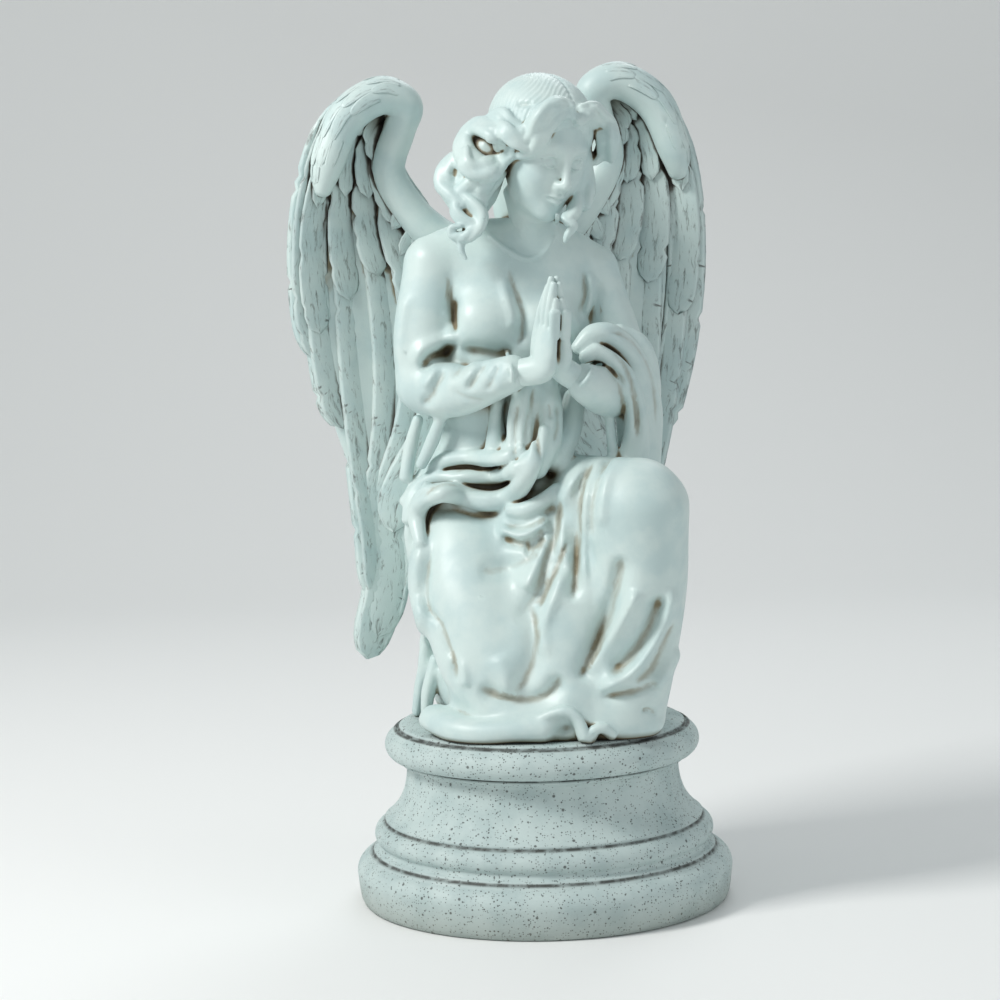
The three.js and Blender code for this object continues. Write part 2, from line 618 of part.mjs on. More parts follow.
function angel() {

	const floor = toSolid( new THREE.BoxGeometry( 400, 400, 60 ).translate( 0, 0, - 30 ) );
	const body = join( [ ...trunk(), ...skirt() ] );
	const rows = 19;
	const gown = drape( body, {
		heights: Array.from( { length: rows + 1 }, ( _, i ) => skirtHeight * i / rows ), columns: 36,
		axis: new THREE.Vector3( 4, - 2, 0 ), slack: 3, folds: skirtFolds,
	} );
	const dressed = join( [ gown, ...trunk() ] );
	const cloth = [
		...[ ...mantleRolls, neckline ].map( ( roll ) => rollOn( dressed, roll ) ),
		...freeFolds.map( ( { path, half } ) => limb( { path, half, across: bodyBack, sides: 5 } ) ),
	];
	const parts = [
		dressed, ...cloth, ...arms(), ...hand( 1 ), ...hand( - 1 ),
		...head(), ...hair(), ...wing( - 1 ), ...wing( 1 ),
	];
	return toGeometry( outerSkin( join( parts ).subtract( floor ) ) );

}

const castStone = new THREE.MeshStandardMaterial( { color: 0xc3d2cf, roughness: 0.75, metalness: 0 } );
const speckledStone = new THREE.MeshStandardMaterial( { color: 0xb9c6c3, roughness: 0.85, metalness: 0 } );

const statue = new THREE.Group();
statue.name = 'kneeling_angel_statue';

const plinthMesh = new THREE.Mesh( plinth(), speckledStone );
plinthMesh.name = 'plinth';
statue.add( plinthMesh );

const angelMesh = new THREE.Mesh( angel(), castStone );
angelMesh.name = 'angel';
angelMesh.position.z = plinthHeight;
statue.add( angelMesh );

export default statue;
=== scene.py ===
import math

import bpy
import numpy as np
import openvdb
from mathutils import Matrix, Vector


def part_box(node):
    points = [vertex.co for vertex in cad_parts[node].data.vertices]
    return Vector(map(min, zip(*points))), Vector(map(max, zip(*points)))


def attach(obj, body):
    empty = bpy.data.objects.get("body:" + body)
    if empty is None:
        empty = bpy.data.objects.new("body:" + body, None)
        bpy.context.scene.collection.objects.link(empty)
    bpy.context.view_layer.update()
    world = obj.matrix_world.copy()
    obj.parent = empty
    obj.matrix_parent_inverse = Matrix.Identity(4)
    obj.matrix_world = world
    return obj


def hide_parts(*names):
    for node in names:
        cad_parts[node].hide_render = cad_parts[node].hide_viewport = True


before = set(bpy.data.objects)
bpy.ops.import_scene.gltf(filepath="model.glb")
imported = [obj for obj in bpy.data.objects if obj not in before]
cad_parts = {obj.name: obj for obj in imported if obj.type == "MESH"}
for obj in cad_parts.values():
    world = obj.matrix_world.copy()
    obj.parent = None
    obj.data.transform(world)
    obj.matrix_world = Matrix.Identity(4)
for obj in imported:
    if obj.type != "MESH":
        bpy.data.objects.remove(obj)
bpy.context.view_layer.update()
millimetre = 0.001
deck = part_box("plinth")[1].z / millimetre  # height of the plinth's top, where the figure's own heights start
bedLevel = (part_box("angel")[0].z / millimetre) - deck


def unit(v):
    v = np.asarray(v, float)
    return v / max(np.linalg.norm(v), 1e-9)


def spline(points, t):  # a smooth line through the points, t from 0 to 1, an array or a number
    p = np.asarray(points, float)
    t = np.clip(np.atleast_1d(np.asarray(t, float)), 0, 1) * (len(p) - 1)
    i = np.minimum(t.astype(int), len(p) - 2)
    f = (t - i)[:, None]
    q = np.vstack([2 * p[0] - p[1], p, 2 * p[-1] - p[-2]])
    a, b, c, d = q[i], q[i + 1], q[i + 2], q[i + 3]
    return 0.5 * (2 * b + (c - a) * f + (2 * a - 5 * b + 4 * c - d) * f**2 + (3 * b - a - 3 * c + d) * f**3)


def along(values, t):  # a value or a pair, evenly spread and joined by straight lines
    v = np.asarray(values, float)
    if v.ndim == 0:
        return np.full(len(np.atleast_1d(t)), float(v))
    return np.interp(np.atleast_1d(t), np.linspace(0, 1, len(v)), v)


def turned(about, degrees):
    return np.array(Matrix.Rotation(math.radians(degrees), 3, about))


# The figure is worked as clay: a block of distances in mm, negative inside, that forms are added to and
# pressed into.
# Folds are laid on as they are seen from here, on a sheet at this depth
eye = np.array([0.0, -1800.0, 332.5])
sheetDepth = -60.0
foldStrength = 2.0


class Clay:
    far = 14.0  # distance given to empty clay
    dome = 0.8  # how far a limb's ends bulge, against its half width
    foldDeep = 1.0  # how much further folds reach along the block's own Y than across it
    # First, last and step of the distances from the eye at which a surface is looked for
    sight = (1650, 1960, 0.5)

    def __init__(self, low, high, step, turn=np.eye(3), place=(0, 0, 0)):
        self.low, self.step = np.array(low, float), step
        self.size = np.ceil((np.array(high, float) - self.low) / step).astype(int) + 1
        self.field = np.full(self.size, self.far, np.float32)
        self.stain = np.zeros(self.size, np.float32)  # where the wash is left in pressed folds
        self.turn, self.place = np.array(turn), np.array(place, float)

    def inside(self, p):  # from the figure's axes to the block's own
        return (np.asarray(p, float) - self.place) @ self.turn

    def outside(self, p):
        return np.asarray(p, float) @ self.turn.T + self.place

    def cut(self, low, high):
        a = np.clip(np.floor((low - self.low) / self.step).astype(int), 0, self.size - 1)
        b = np.clip(np.ceil((high - self.low) / self.step).astype(int) + 1, 1, self.size)
        b = np.maximum(b, a + 1)
        axes = [(self.low[k] + self.step * np.arange(a[k], b[k])).astype(np.float32) for k in range(3)]
        return tuple(slice(i, j) for i, j in zip(a, b)), axes

    def blendIn(self, where, d, soft, carve=False):
        f = -self.field[where] if carve else self.field[where]
        h = np.clip(soft - np.abs(f - d), 0, None) / max(soft, 1e-6)
        f = np.minimum(f, d) - h * h * (soft / 4)
        self.field[where] = -f if carve else f

    # A form along a line: half is its half width, or pairs of (half across, half deep), and across is the
    # direction of the first.
    def limb(self, path, half, across=(1, 0, 0), soft=6, local=False, flutes=0, flute=0.0, spin=0.0):
        path = np.asarray(path, float) if local else self.inside(path)
        halves = np.array(
            [(h, h) if np.isscalar(h) else h for h in (half if isinstance(half, list) else [half])], float
        )
        span = np.linalg.norm(np.diff(path, axis=0), axis=1).sum()
        count = int(max(3, min(60, span / (3.5 * self.step) + 2)))
        t = np.linspace(0, 1, count)
        line = spline(path, t)
        a, b = along(halves[:, 0], t), along(halves[:, 1], t)
        sideways = np.asarray(across, float) if local else np.asarray(across, float) @ self.turn
        reach = float(max(a.max(), b.max())) + soft + 1
        where, (x, y, z) = self.cut(line.min(0) - reach, line.max(0) + reach)
        best = np.full((len(x), len(y), len(z)), self.far, np.float32)
        for i in range(count - 1):
            p, q = line[i], line[i + 1]
            ahead = q - p
            length = np.linalg.norm(ahead)
            if length < 1e-6:
                continue
            ahead /= length
            r = max(a[i], a[i + 1], b[i], b[i + 1]) + soft + 1
            low, high = np.minimum(p, q) - r, np.maximum(p, q) + r
            cuts = [slice(*np.searchsorted(v, (low[k], high[k]))) for k, v in enumerate((x, y, z))]
            if any(c.stop <= c.start for c in cuts):
                continue
            atX, atY, atZ = x[cuts[0]][:, None, None], y[cuts[1]][None, :, None], z[cuts[2]][None, None, :]
            u = unit(sideways - ahead * (sideways @ ahead))
            w = np.cross(ahead, u)
            s = (atX - p[0]) * ahead[0] + (atY - p[1]) * ahead[1] + (atZ - p[2]) * ahead[2]
            first, last = i == 0, i == count - 2
            c = np.clip(s, 0, length)
            over = s - c
            c /= length
            across1 = (atX - p[0]) * u[0] + (atY - p[1]) * u[1] + (atZ - p[2]) * u[2]
            across2 = (atX - p[0]) * w[0] + (atY - p[1]) * w[1] + (atZ - p[2]) * w[2]
            ra, rb = a[i] + (a[i + 1] - a[i]) * c, b[i] + (b[i + 1] - b[i]) * c
            if flutes:
                turn = np.arctan2(across2, across1)
                wave = 1 + flute * np.cos(flutes * turn + spin * (i + c))
                ra, rb = ra * wave, rb * wave
            rc = np.minimum(ra, rb) * (self.dome if first or last else 1.0)
            k = np.sqrt((across1 / ra) ** 2 + (across2 / rb) ** 2 + (over / rc) ** 2) + 1e-5
            g = np.sqrt((across1 / ra**2) ** 2 + (across2 / rb**2) ** 2 + (over / rc**2) ** 2) + 1e-5
            d = (k * (k - 1) / g).astype(np.float32)
            part = best[tuple(cuts)]
            np.minimum(part, d, out=part)
        self.blendIn(where, best, soft)

    def ball(self, centre, radii, soft=6, carve=False, local=False):
        c = np.asarray(centre, float) if local else self.inside(centre)
        r = np.array([radii] * 3 if np.isscalar(radii) else radii, float)
        reach = r.max() + soft + 1
        where, (x, y, z) = self.cut(c - reach, c + reach)
        atX, atY, atZ = x[:, None, None] - c[0], y[None, :, None] - c[1], z[None, None, :] - c[2]
        k = np.sqrt((atX / r[0]) ** 2 + (atY / r[1]) ** 2 + (atZ / r[2]) ** 2) + 1e-5
        g = np.sqrt((atX / r[0] ** 2) ** 2 + (atY / r[1] ** 2) ** 2 + (atZ / r[2] ** 2) ** 2) + 1e-5
        self.blendIn(where, (k * (k - 1) / g).astype(np.float32), soft, carve)

    # Distance to a line and the share of the way along it, in a block round it; deep above 1 lets it reach
    # further along Y.
    def near(self, line, reach, deep=1.0):
        reach = reach * np.array([1, deep, 1])
        where, (x, y, z) = self.cut(line.min(0) - reach, line.max(0) + reach)
        best = np.full((len(x), len(y), len(z)), 99.0, np.float32)
        share = np.zeros_like(best)
        for i in range(len(line) - 1):
            p, q = line[i], line[i + 1]
            ahead = (q - p) / (1, deep, 1)
            length2 = ahead @ ahead
            if length2 < 1e-9:
                continue
            low, high = np.minimum(p, q) - reach, np.maximum(p, q) + reach
            cuts = [slice(*np.searchsorted(v, (low[k], high[k]))) for k, v in enumerate((x, y, z))]
            if any(c.stop <= c.start for c in cuts):
                continue
            atX, atZ = x[cuts[0]][:, None, None] - p[0], z[cuts[2]][None, None, :] - p[2]
            atY = (y[cuts[1]][None, :, None] - p[1]) / deep
            c = np.clip((atX * ahead[0] + atY * ahead[1] + atZ * ahead[2]) / length2, 0, 1)
            d = np.sqrt((atX - c * ahead[0]) ** 2 + (atY - c * ahead[1]) ** 2 + (atZ - c * ahead[2]) ** 2)
            part, shares = best[tuple(cuts)], share[tuple(cuts)]
            closer = d < part
            part[closer] = d[closer]
            shares[closer] = ((i + c) / (len(line) - 1))[closer]
        return where, best, share

    # Raises a fold of that height and half width along a line on the surface, or presses one in where
    # height is below 0.
    def fold(self, path, width, height, crest=2.0, ends=(0.25, 0.25), local=False, seen=True):
        line = self.seen(path) if seen else (np.asarray(path, float) if local else self.inside(path))
        span = np.linalg.norm(np.diff(line, axis=0), axis=1).sum()
        count = int(max(4, min(80, span / (2.5 * self.step) + 2)))
        line = spline(line, np.linspace(0, 1, count))
        top = float(np.max(width))
        where, d, t = self.near(line, 2.4 * top, self.foldDeep if seen else 1.0)
        fade = np.clip(t / max(ends[0], 1e-3), 0, 1) * np.clip((1 - t) / max(ends[1], 1e-3), 0, 1)
        fade = fade * fade * (3 - 2 * fade)
        w = np.interp(
            t, np.linspace(0, 1, np.size(width)), np.atleast_1d(width)
        ) if np.size(width) > 1 else top
        h = np.interp(
            t, np.linspace(0, 1, np.size(height)), np.atleast_1d(height)
        ) if np.size(height) > 1 else height
        if np.min(height) < 0:
            mark = fade * np.exp(
                -((d / (0.5 * np.minimum(w, 4.5) + 0.7)) ** 2)
            ) * np.minimum(np.abs(h) / 3.4, 1.25)
            self.stain[where] = np.maximum(self.stain[where], mark)
        self.field[where] -= (foldStrength * h * fade * np.exp(-((d / w) ** crest))).astype(np.float32)

    # Puts points given as (x, height) on the sheet at sheetDepth onto the surface behind them, as seen from
    # the eye.
    def seen(self, path, lift=0.0):
        p = np.asarray(path, float)
        if p.shape[1] == 3:
            return self.inside(p)
        target = np.stack([p[:, 0], np.full(len(p), sheetDepth), p[:, 1]], 1)
        way = target - eye
        way /= np.linalg.norm(way, axis=1)[:, None]
        t = np.arange(*self.sight)
        places = self.inside(eye + way[:, None, :] * t[None, :, None])
        index = np.round((places - self.low) / self.step).astype(int)
        good = np.all((index >= 0) & (index < self.size), axis=2)
        index = np.clip(index, 0, self.size - 1)
        value = np.where(good, self.field[index[..., 0], index[..., 1], index[..., 2]], self.far)
        hit = value < 0
        first = np.where(hit.any(1), hit.argmax(1), value.argmin(1))
        depth = t[first] - lift
        return self.inside(eye + way * depth[:, None])

    # Where the surface is first met from outside, that way round the axis
    def outermost(self, degrees, level, axis):
        way = np.array([math.cos(math.radians(degrees)), math.sin(math.radians(degrees)), 0])
        places = np.array([*axis, level]) + way * np.arange(125, 0, -0.5)[:, None]
        index = np.clip(np.round((places - self.low) / self.step).astype(int), 0, self.size - 1)
        met = self.field[index[:, 0], index[:, 1], index[:, 2]] < 0
        return places[met.argmax()]

    def roll(self, path, half, lift=0.0, soft=2.0, **more):  # a rounded fold or lock that lies on the surface
        line = self.seen(path, lift)
        self.limb(line, half, soft=soft, local=True, **more)

    def stained(self, p):
        i = np.clip(np.round((self.inside(p) - self.low) / self.step).astype(int), 0, self.size - 1)
        return self.stain[i[:, 0], i[:, 1], i[:, 2]]

    def floor(self, level):
        z = self.low[2] + self.step * np.arange(self.size[2])
        self.field = np.maximum(self.field, (level - z)[None, None, :].astype(np.float32))

    def mesh(self, target):  # vertices and triangles in the figure's mm, thinned to about that many triangles
        band = 3.0  # cells either side of the surface
        self.field[[0, -1]] = band
        self.field[:, [0, -1]] = band
        self.field[:, :, [0, -1]] = band
        grid = openvdb.FloatGrid(band)
        grid.copyFromArray(np.clip(self.field / self.step, -band, band))
        points, quads = grid.convertToQuads(0.0)
        points = self.outside(points * self.step + self.low)
        return thinned(points, quads[:, ::-1], target)


def makeMesh(name, points, faces):
    made = bpy.data.meshes.new(name)
    made.from_pydata(np.asarray(points).tolist(), [], np.asarray(faces).tolist())
    made.validate()
    return made


def meshArrays(made):
    made.calc_loop_triangles()
    points = np.zeros(len(made.vertices) * 3, np.float32)
    made.vertices.foreach_get("co", points)
    faces = np.zeros(len(made.loop_triangles) * 3, np.int32)
    made.loop_triangles.foreach_get("vertices", faces)
    return points.reshape(-1, 3).astype(float), faces.reshape(-1, 3)


def volume(points, faces):
    a, b, c = points[faces[:, 0]], points[faces[:, 1]], points[faces[:, 2]]
    return np.einsum("ij,ij->i", a, np.cross(b, c)).sum() / 6


def thinned(points, quads, target):
    made = makeMesh("clay", points, quads)
    o = bpy.data.objects.new("clay", made)
    bpy.context.scene.collection.objects.link(o)
    thin = o.modifiers.new("thin", "DECIMATE")
    thin.ratio = min(1.0, target / (2 * len(quads)))
    result = bpy.data.meshes.new_from_object(o.evaluated_get(bpy.context.evaluated_depsgraph_get()))
    out = meshArrays(result)
    bpy.data.objects.remove(o)
    bpy.data.meshes.remove(made)
    bpy.data.meshes.remove(result)
    if volume(*out) < 0:
        out = (out[0], out[1][:, ::-1])
    print("  clay", len(quads) * 2, "->", len(out[1]), "triangles")
    return out


fine = 1.0

# Body and gown

body = {
    "step": 1.15 * fine,
    "triangles": 68000,
    "low": (-116, -116, -4),
    "high": (120, 118, 366),
    "foldDeep": 3.0,
    "cloth": 12,  # how softly one form of the body runs into the next under the cloth
    "forms": [  # path, half widths, direction of the first half width
        (
            [(-26, 26, 175), (-24, 18, 215), (-16, 10, 275), (-9, 12, 322), (-5, 14, 348)],
            [(60, 46), (46, 36), (55, 37), (58, 29), (34, 22)], (1, 0.2, 0)
        ),
        ([(-72, 4, 334), (-40, 12, 344), (14, 26, 341), (46, 36, 325)], [20, 20, 20, 20], (0, 0, 1)),
        (
            [(-50, 18, 150), (-47, -22, 105), (-34, -46, 62), (-20, -54, 30)],
            [(40, 40), (41, 38), (41, 36), (38, 36)], (1, 0, 0)
        ),
        ([(-24, -44, 20), (-40, 24, 32), (-44, 76, 24)], [(38, 22), (42, 36), (38, 24)], (1, 0, 0)),
        ([(-28, 32, 165), (-20, 50, 100), (-10, 60, 16)], [(60, 48), (62, 46), (68, 38)], (1, 0, 0)),
        ([(-2, 34, 150), (36, -18, 158), (70, -70, 162)], [(42, 42), (37, 36), (33, 32)], (1, 0.4, 0)),
        (
            [(72, -72, 162), (72, -66, 110), (66, -60, 60), (54, -58, 16)],
            [(34, 34), (33, 34), (31, 34), (34, 34)], (1, 0, 0)
        ),
        (
            [(8, -10, 150), (24, -42, 114), (16, -55, 62), (10, -58, 14)],
            [(44, 34), (46, 30), (44, 32), (50, 36)], (1, 0, 0)
        ),
        ([(30, 24, 130), (40, 6, 80), (40, 4, 14)], [(32, 40), (36, 50), (40, 54)], (1, 0, 0)),
    ],
    "breast": [((-34, -14, 290), (23, 20, 22)), ((12, -8, 288), (21, 18, 21))],
    "breastCloth": 10,
    "neck": ([(-3, 10, 330), (2, 4, 362), (8, -2, 390)], [(25, 23), (17, 17), (18, 18)]),
    "neckCloth": 7,
}
gown = Clay(body["low"], body["high"], body["step"])
gown.foldDeep = body["foldDeep"]
for path, half, across in body["forms"]:
    gown.limb(path, half, across, soft=body["cloth"])
for centre, radii in body["breast"]:
    gown.ball(centre, radii, soft=body["breastCloth"])
gown.limb(*body["neck"], soft=body["neckCloth"])
print("gown: body forms")

folds = {  # (path as seen, half width, height, crest): crest 2 is round, and nearer 1 is sharp
    "chest": [
        ([(-58.7, 329), (-57.6, 315), (-55.3, 300), (-52.8, 286)], 3.2, -3.2, 1.3),
        ([(-52.2, 311), (-53.3, 298), (-52.9, 283)], 2.6, -3.0, 1.3),
        ([(-62, 322), (-62, 306), (-58, 292)], 3.5, 1.6, 2),
        ([(-16, 335), (-13.6, 321), (-9, 309), (-5.8, 296), (-7.6, 281), (-12, 273)], 3.0, -2.6, 1.3),
        ([(-20, 330), (-17, 312), (-13, 296), (-13, 284)], 4.0, 1.4, 2),
        ([(-52, 275), (-36, 272), (-24, 270), (-11, 273)], 4.5, -4.5, 1.5),
        ([(36, 331), (37.8, 313), (35.5, 302), (33, 290)], 2.6, -2.6, 1.3),
        ([(41.6, 327), (41.9, 309), (37.4, 293)], 2.8, 2.2, 1.8),
        ([(46, 320), (46, 306), (41, 294)], 2.2, -2.2, 1.3),
        ([(56, 318), (53, 308), (46, 297), (39, 290)], 3.0, -3.4, 1.4),
        ([(61, 305), (55, 297), (49, 290)], 3.0, 2.4, 2),
        ([(66, 305), (60, 294), (55, 288)], 2.4, -2.4, 1.4),
    ],
    "skirt": [
        ([(-76, 148), (-85, 127), (-87, 105), (-83, 84), (-77, 61), (-66, 39)], 6.0, 4.5, 2),
        ([(-72, 142), (-79, 108), (-77, 91), (-70, 82), (-65, 67), (-60, 52), (-60, 36)], 2.6, -3.4, 1.2),
        ([(-64, 60), (-55, 48), (-53, 34)], 4.0, 1.8, 2),
        ([(18, 170), (15, 155), (12, 140), (5, 120), (-1, 100), (-18, 78)], 5.5, -5.5, 1.25),
        ([(22, 140), (15, 122), (6, 103), (-2, 88)], 3.0, -3.0, 1.2),
        ([(8, 146), (0, 122), (-10, 102)], 5.0, 3.2, 2),
        ([(18, 120), (10, 98), (2, 76), (4, 52)], 5.0, 2.6, 2),
        ([(38, 192), (24, 177), (19, 162), (17, 140), (20, 118)], 3.4, 4.0, 1.6),
        ([(44, 195), (34, 180), (30, 159), (28, 128), (26, 108), (23, 91)], 3.4, -4.2, 1.4),
        ([(50, 196), (38, 182), (34.5, 166), (32, 131), (33, 104)], 3.2, 2.8, 1.7),
        ([(56, 197), (44, 182), (38.5, 159), (38.7, 136)], 3.2, -2.4, 1.5),
        ([(63, 197), (51, 184), (46, 164), (46, 145)], 4.2, 1.7, 2),
        ([(60, 128), (57, 112), (51, 90), (42, 66), (33, 48), (26, 36)], 5.0, -6.0, 1.35),
        ([(70, 104), (64, 90), (53, 73), (40, 55), (31, 41)], 4.2, 4.6, 1.6),
        ([(86, 100), (82, 84), (72, 64), (60, 50), (48, 40)], 5.4, -6.0, 1.4),
        ([(94, 104), (92, 88), (83, 67), (68, 47), (52, 36), (39, 31)], 4.4, 4.4, 1.6),
        ([(97, 80), (88, 61), (79, 44), (65, 33)], 4.6, -3.0, 1.6),
        ([(100, 60), (90, 42), (80, 30)], 4.5, 2.4, 2),
        ([(-6, 96), (-2, 70), (-8, 44), (-20, 26)], 8.0, -3.0, 2),
        ([(-46, 36), (-28, 27), (-6, 24), (8, 30), (16, 44)], 6.0, -4.5, 1.6),
        ([(-30, 60), (-24, 40), (-26, 24)], 7.0, 1.8, 2),
        ([(-29, 150), (-14, 143), (0, 147), (8, 156)], 3.6, 3.4, 1.7),
        ([(-26, 143), (-12, 136), (0, 139), (6, 148)], 3.6, -3.6, 1.4),
        ([(-10, 132), (0, 134), (6, 142)], 4.5, -3.2, 1.6),
        ([(-44, 118), (-26, 118), (-8, 124), (4, 134)], 7.0, -1.6, 2),
        ([(-10, 182), (-2, 172), (8, 178), (14, 192)], 4.0, -3.0, 1.5),
    ],
}
for path, width, height, crest in folds["chest"]:
    gown.fold(path, width, height, crest)
for path, width, height, crest in folds["skirt"]:
    gown.fold(path, width, height, crest, ends=(0.18, 0.18))
print("gown: folds")

sleeve = {
    "right": [
        ([(-70, 4, 334), (-78, -2, 284), (-78, -6, 246)], [(21, 21), (21.5, 21), (21, 21)], (0, 1, 0)),
        (
            [(-77, -8, 246), (-62, -22, 244), (-48, -34, 245), (-24, -55, 253), (-13, -62, 257)],
            [(20, 21), (20, 19), (18, 18), (14, 16), (12.5, 13.5)], (0, 0, 1)
        )
    ],
    "left": [
        ([(44, 34, 326), (57, 30, 286), (68, 20, 250)], [(20, 20), (20, 20), (20, 20)], (0, 1, 0)),
        (
            [(68, 14, 246), (56, -22, 240), (42, -50, 245), (36, -59, 249)],
            [(20, 20), (19, 19), (15, 15), (13, 13)], (0, 0, 1)
        )
    ],
    "creases": [
        ([(-50, 278), (-62, 272), (-72, 268), (-79, 259)], 3.2, -4.6, 1.3),
        ([(-50, 285), (-62, 281), (-76, 275), (-84, 262)], 5.0, 2.4, 2),
        ([(-60, 262), (-66, 251), (-73, 240), (-80, 236)], 3.6, -2.2, 1.6),
        ([(-66, 265), (-72, 255), (-78, 247)], 3.4, 1.6, 2),
        ([(-44, 268), (-50, 262), (-57, 252)], 3.0, -1.7, 1.5),
        ([(-31, 265), (-39, 255), (-48, 243)], 3.0, -1.8, 1.5),
        ([(-36, 266), (-43, 258), (-51, 248)], 3.0, 1.3, 2),
        ([(-22, 265), (-27, 254), (-34, 243)], 2.6, -1.4, 1.5),
        ([(-86, 318), (-92, 290), (-92, 262)], 5.0, 1.5, 2),
        ([(-58, 248), (-46, 240), (-30, 238)], 3.0, -1.2, 1.7),
        ([(52, 262), (60, 254), (66, 244)], 3.0, -1.6, 1.5),
    ],
    "cuffs": [
        ([(-18, 272), (-15.5, 262), (-14, 250), (-13.5, 241)], 1.5),
        ([(31, 274), (39, 267), (41, 257), (33, 247), (20, 249)], 1.6)
    ],
}
for side in ("right", "left"):
    for path, half, across in sleeve[side]:
        gown.limb(path, half, across, soft=4)
for path, width, height, crest in sleeve["creases"]:
    gown.fold(path, width, height, crest)
for path, radius in sleeve["cuffs"]:
    gown.roll(path, radius, soft=1.2)
print("gown: sleeves")

mantle = {
    "sashes": [  # hang from under the hands into the lap
        (
            [(2, -38, 256), (-5, -40, 238), (-9, -38, 218), (-11, -38, 200), (-12, -42, 184)],
            [(8, 9), (10, 11), (12, 12), (13, 13), (12, 12)]
        ),
        (
            [(8, -34, 256), (11, -38, 240), (12, -38, 224), (9, -39, 206), (0, -42, 188)],
            [(7, 9), (8, 11), (9, 12), (10, 13), (9, 12)]
        ),
        ([(-24, -24, 244), (-26, -26, 222), (-28, -27, 200)], [(5, 8), (6, 8), (8, 8)]),
        ([(30, -10, 236), (24, -18, 212), (14, -30, 192)], [(8, 8), (10, 10), (10, 10)]),
    ],
    "rolls": [
        (
            [(-92, 168), (-78, 185), (-63, 195), (-42, 197), (-22, 196), (-10, 203)],
            [4.5, 6.5, 7, 7, 6.5, 5], -1.0
        ),
        (
            [(-91, 155), (-86, 172), (-72, 183), (-50, 185), (-27, 184), (-13, 189), (-4, 198)],
            [4, 6, 7, 7, 7, 6, 4], 1.0
        ),
        (
            [
                (-82, 138), (-84, 158), (-78, 170), (-66, 175), (-52, 172), (-33, 167), (-18, 171),
                (-7, 184), (0, 198), (6, 216)
            ],
            [4.5, 7, 8, 8.5, 9, 9.5, 9, 8, 7, 5], 2.0
        ),
        ([(-18, 160), (-7, 160), (4, 165), (15, 175)], [5, 6.5, 6.5, 4], 0.5),
    ],
    "valleys": [
        ([(-88, 166), (-74, 179), (-52, 190), (-30, 190), (-14, 195)], 1.8, -2.8, 1.2),
        ([(-84, 166), (-66, 180), (-43, 176.5), (-24, 177.5), (-12, 186)], 2.2, -3.4, 1.2),
        ([(-80, 160), (-60, 161), (-39, 156), (-19, 158)], 3.0, -2.6, 1.3),
        ([(-70, 188), (-50, 192), (-34, 188)], 1.6, -1.6, 1.2),
        ([(1, 250), (-1, 232), (1.5, 210), (4.5, 192)], 2.2, -3.6, 1.2),
        ([(-9, 240), (-13, 222), (-14, 204), (-13, 192)], 1.8, -2.4, 1.3),
        ([(-18, 240), (-21, 222), (-21, 204)], 2.4, -2.6, 1.4),
        ([(16, 236), (17, 220), (13, 204)], 2.2, -2.2, 1.4),
        ([(-2, 236), (-6, 214), (-4, 198)], 1.5, -1.6, 1.3),
        ([(10, 236), (12, 222)], 1.6, -1.6, 1.3),
        ([(-27, 151), (-11, 148), (4, 153), (14, 164)], 3.0, -2.4, 1.4),
        ([(43, 276), (54, 273), (64, 262), (70, 242), (72, 214), (68, 192)], 2.6, -3.4, 1.3),
        ([(50, 284), (66, 280), (79, 264), (85, 240), (85, 206)], 2.4, -3.0, 1.3),
        ([(52, 262), (60, 248), (63, 226), (60, 200)], 2.6, -3.2, 1.3),
    ],
    "hip": [
        (
            [(-66, -30, 172), (-82, -14, 162), (-90, -2, 132), (-86, 4, 98)],
            [(5, 8), (6, 9), (6, 9), (4, 5)]
        ),
        (
            [(-78, -26, 176), (-88, -12, 158), (-92, -8, 140), (-90, -4, 126)],
            [(3, 4), (4, 5), (4, 5), (3, 3)]
        ),
        ([(-66, -20, 226), (-73, -16, 208), (-82, -12, 190)], [(4, 4), (5, 4), (4, 4)]),
        ([(-84, 0, 222), (-90, 2, 202), (-94, 0, 180)], [(4, 4), (5, 5), (5, 5)]),
    ],
    "arm": [
        (
            [(32, -40, 272), (44, -36, 281), (60, -28, 277), (74, -14, 258), (81, -8, 226), (78, -16, 184)],
            [(5, 5), (8, 8), (9, 10), (11, 10), (12, 11), (12, 10)]
        ),
        (
            [
                (36, -46, 265), (48, -42, 269), (60, -38, 260), (69, -30, 240), (72, -28, 214),
                (70, -30, 186)
            ],
            [(4, 4), (6, 7), (7.5, 9), (8.5, 10), (10, 11), (11, 10)]
        ),
        (
            [(40, -26, 270), (58, -18, 272), (70, -12, 248), (74, -14, 218), (72, -20, 184)],
            [(8, 12), (14, 13), (15, 12), (15, 12), (14, 12)]
        ),
        (
            [(62, -12, 282), (78, -4, 272), (86, 0, 250), (86, 0, 214), (84, -6, 180)],
            [(6, 6), (7, 8), (6, 9), (6, 9), (6, 8)]
        ),
        ([(52, -26, 232), (55, -28, 212), (56, -30, 190)], [(3, 3), (4, 4), (4, 4)]),
    ],
}
for path, half in mantle["sashes"] + mantle["hip"]:
    gown.limb(path, half, (1, 0, 0), soft=4.5)
for path, half, lift in mantle["rolls"]:
    gown.roll(path, half, lift=lift, soft=2.2)
for path, half in mantle["arm"]:
    gown.limb(path, half, (1, 0, 0), soft=2.6)
for path, width, height, crest in mantle["valleys"]:
    gown.fold(path, width, height, crest)
print("gown: mantle")

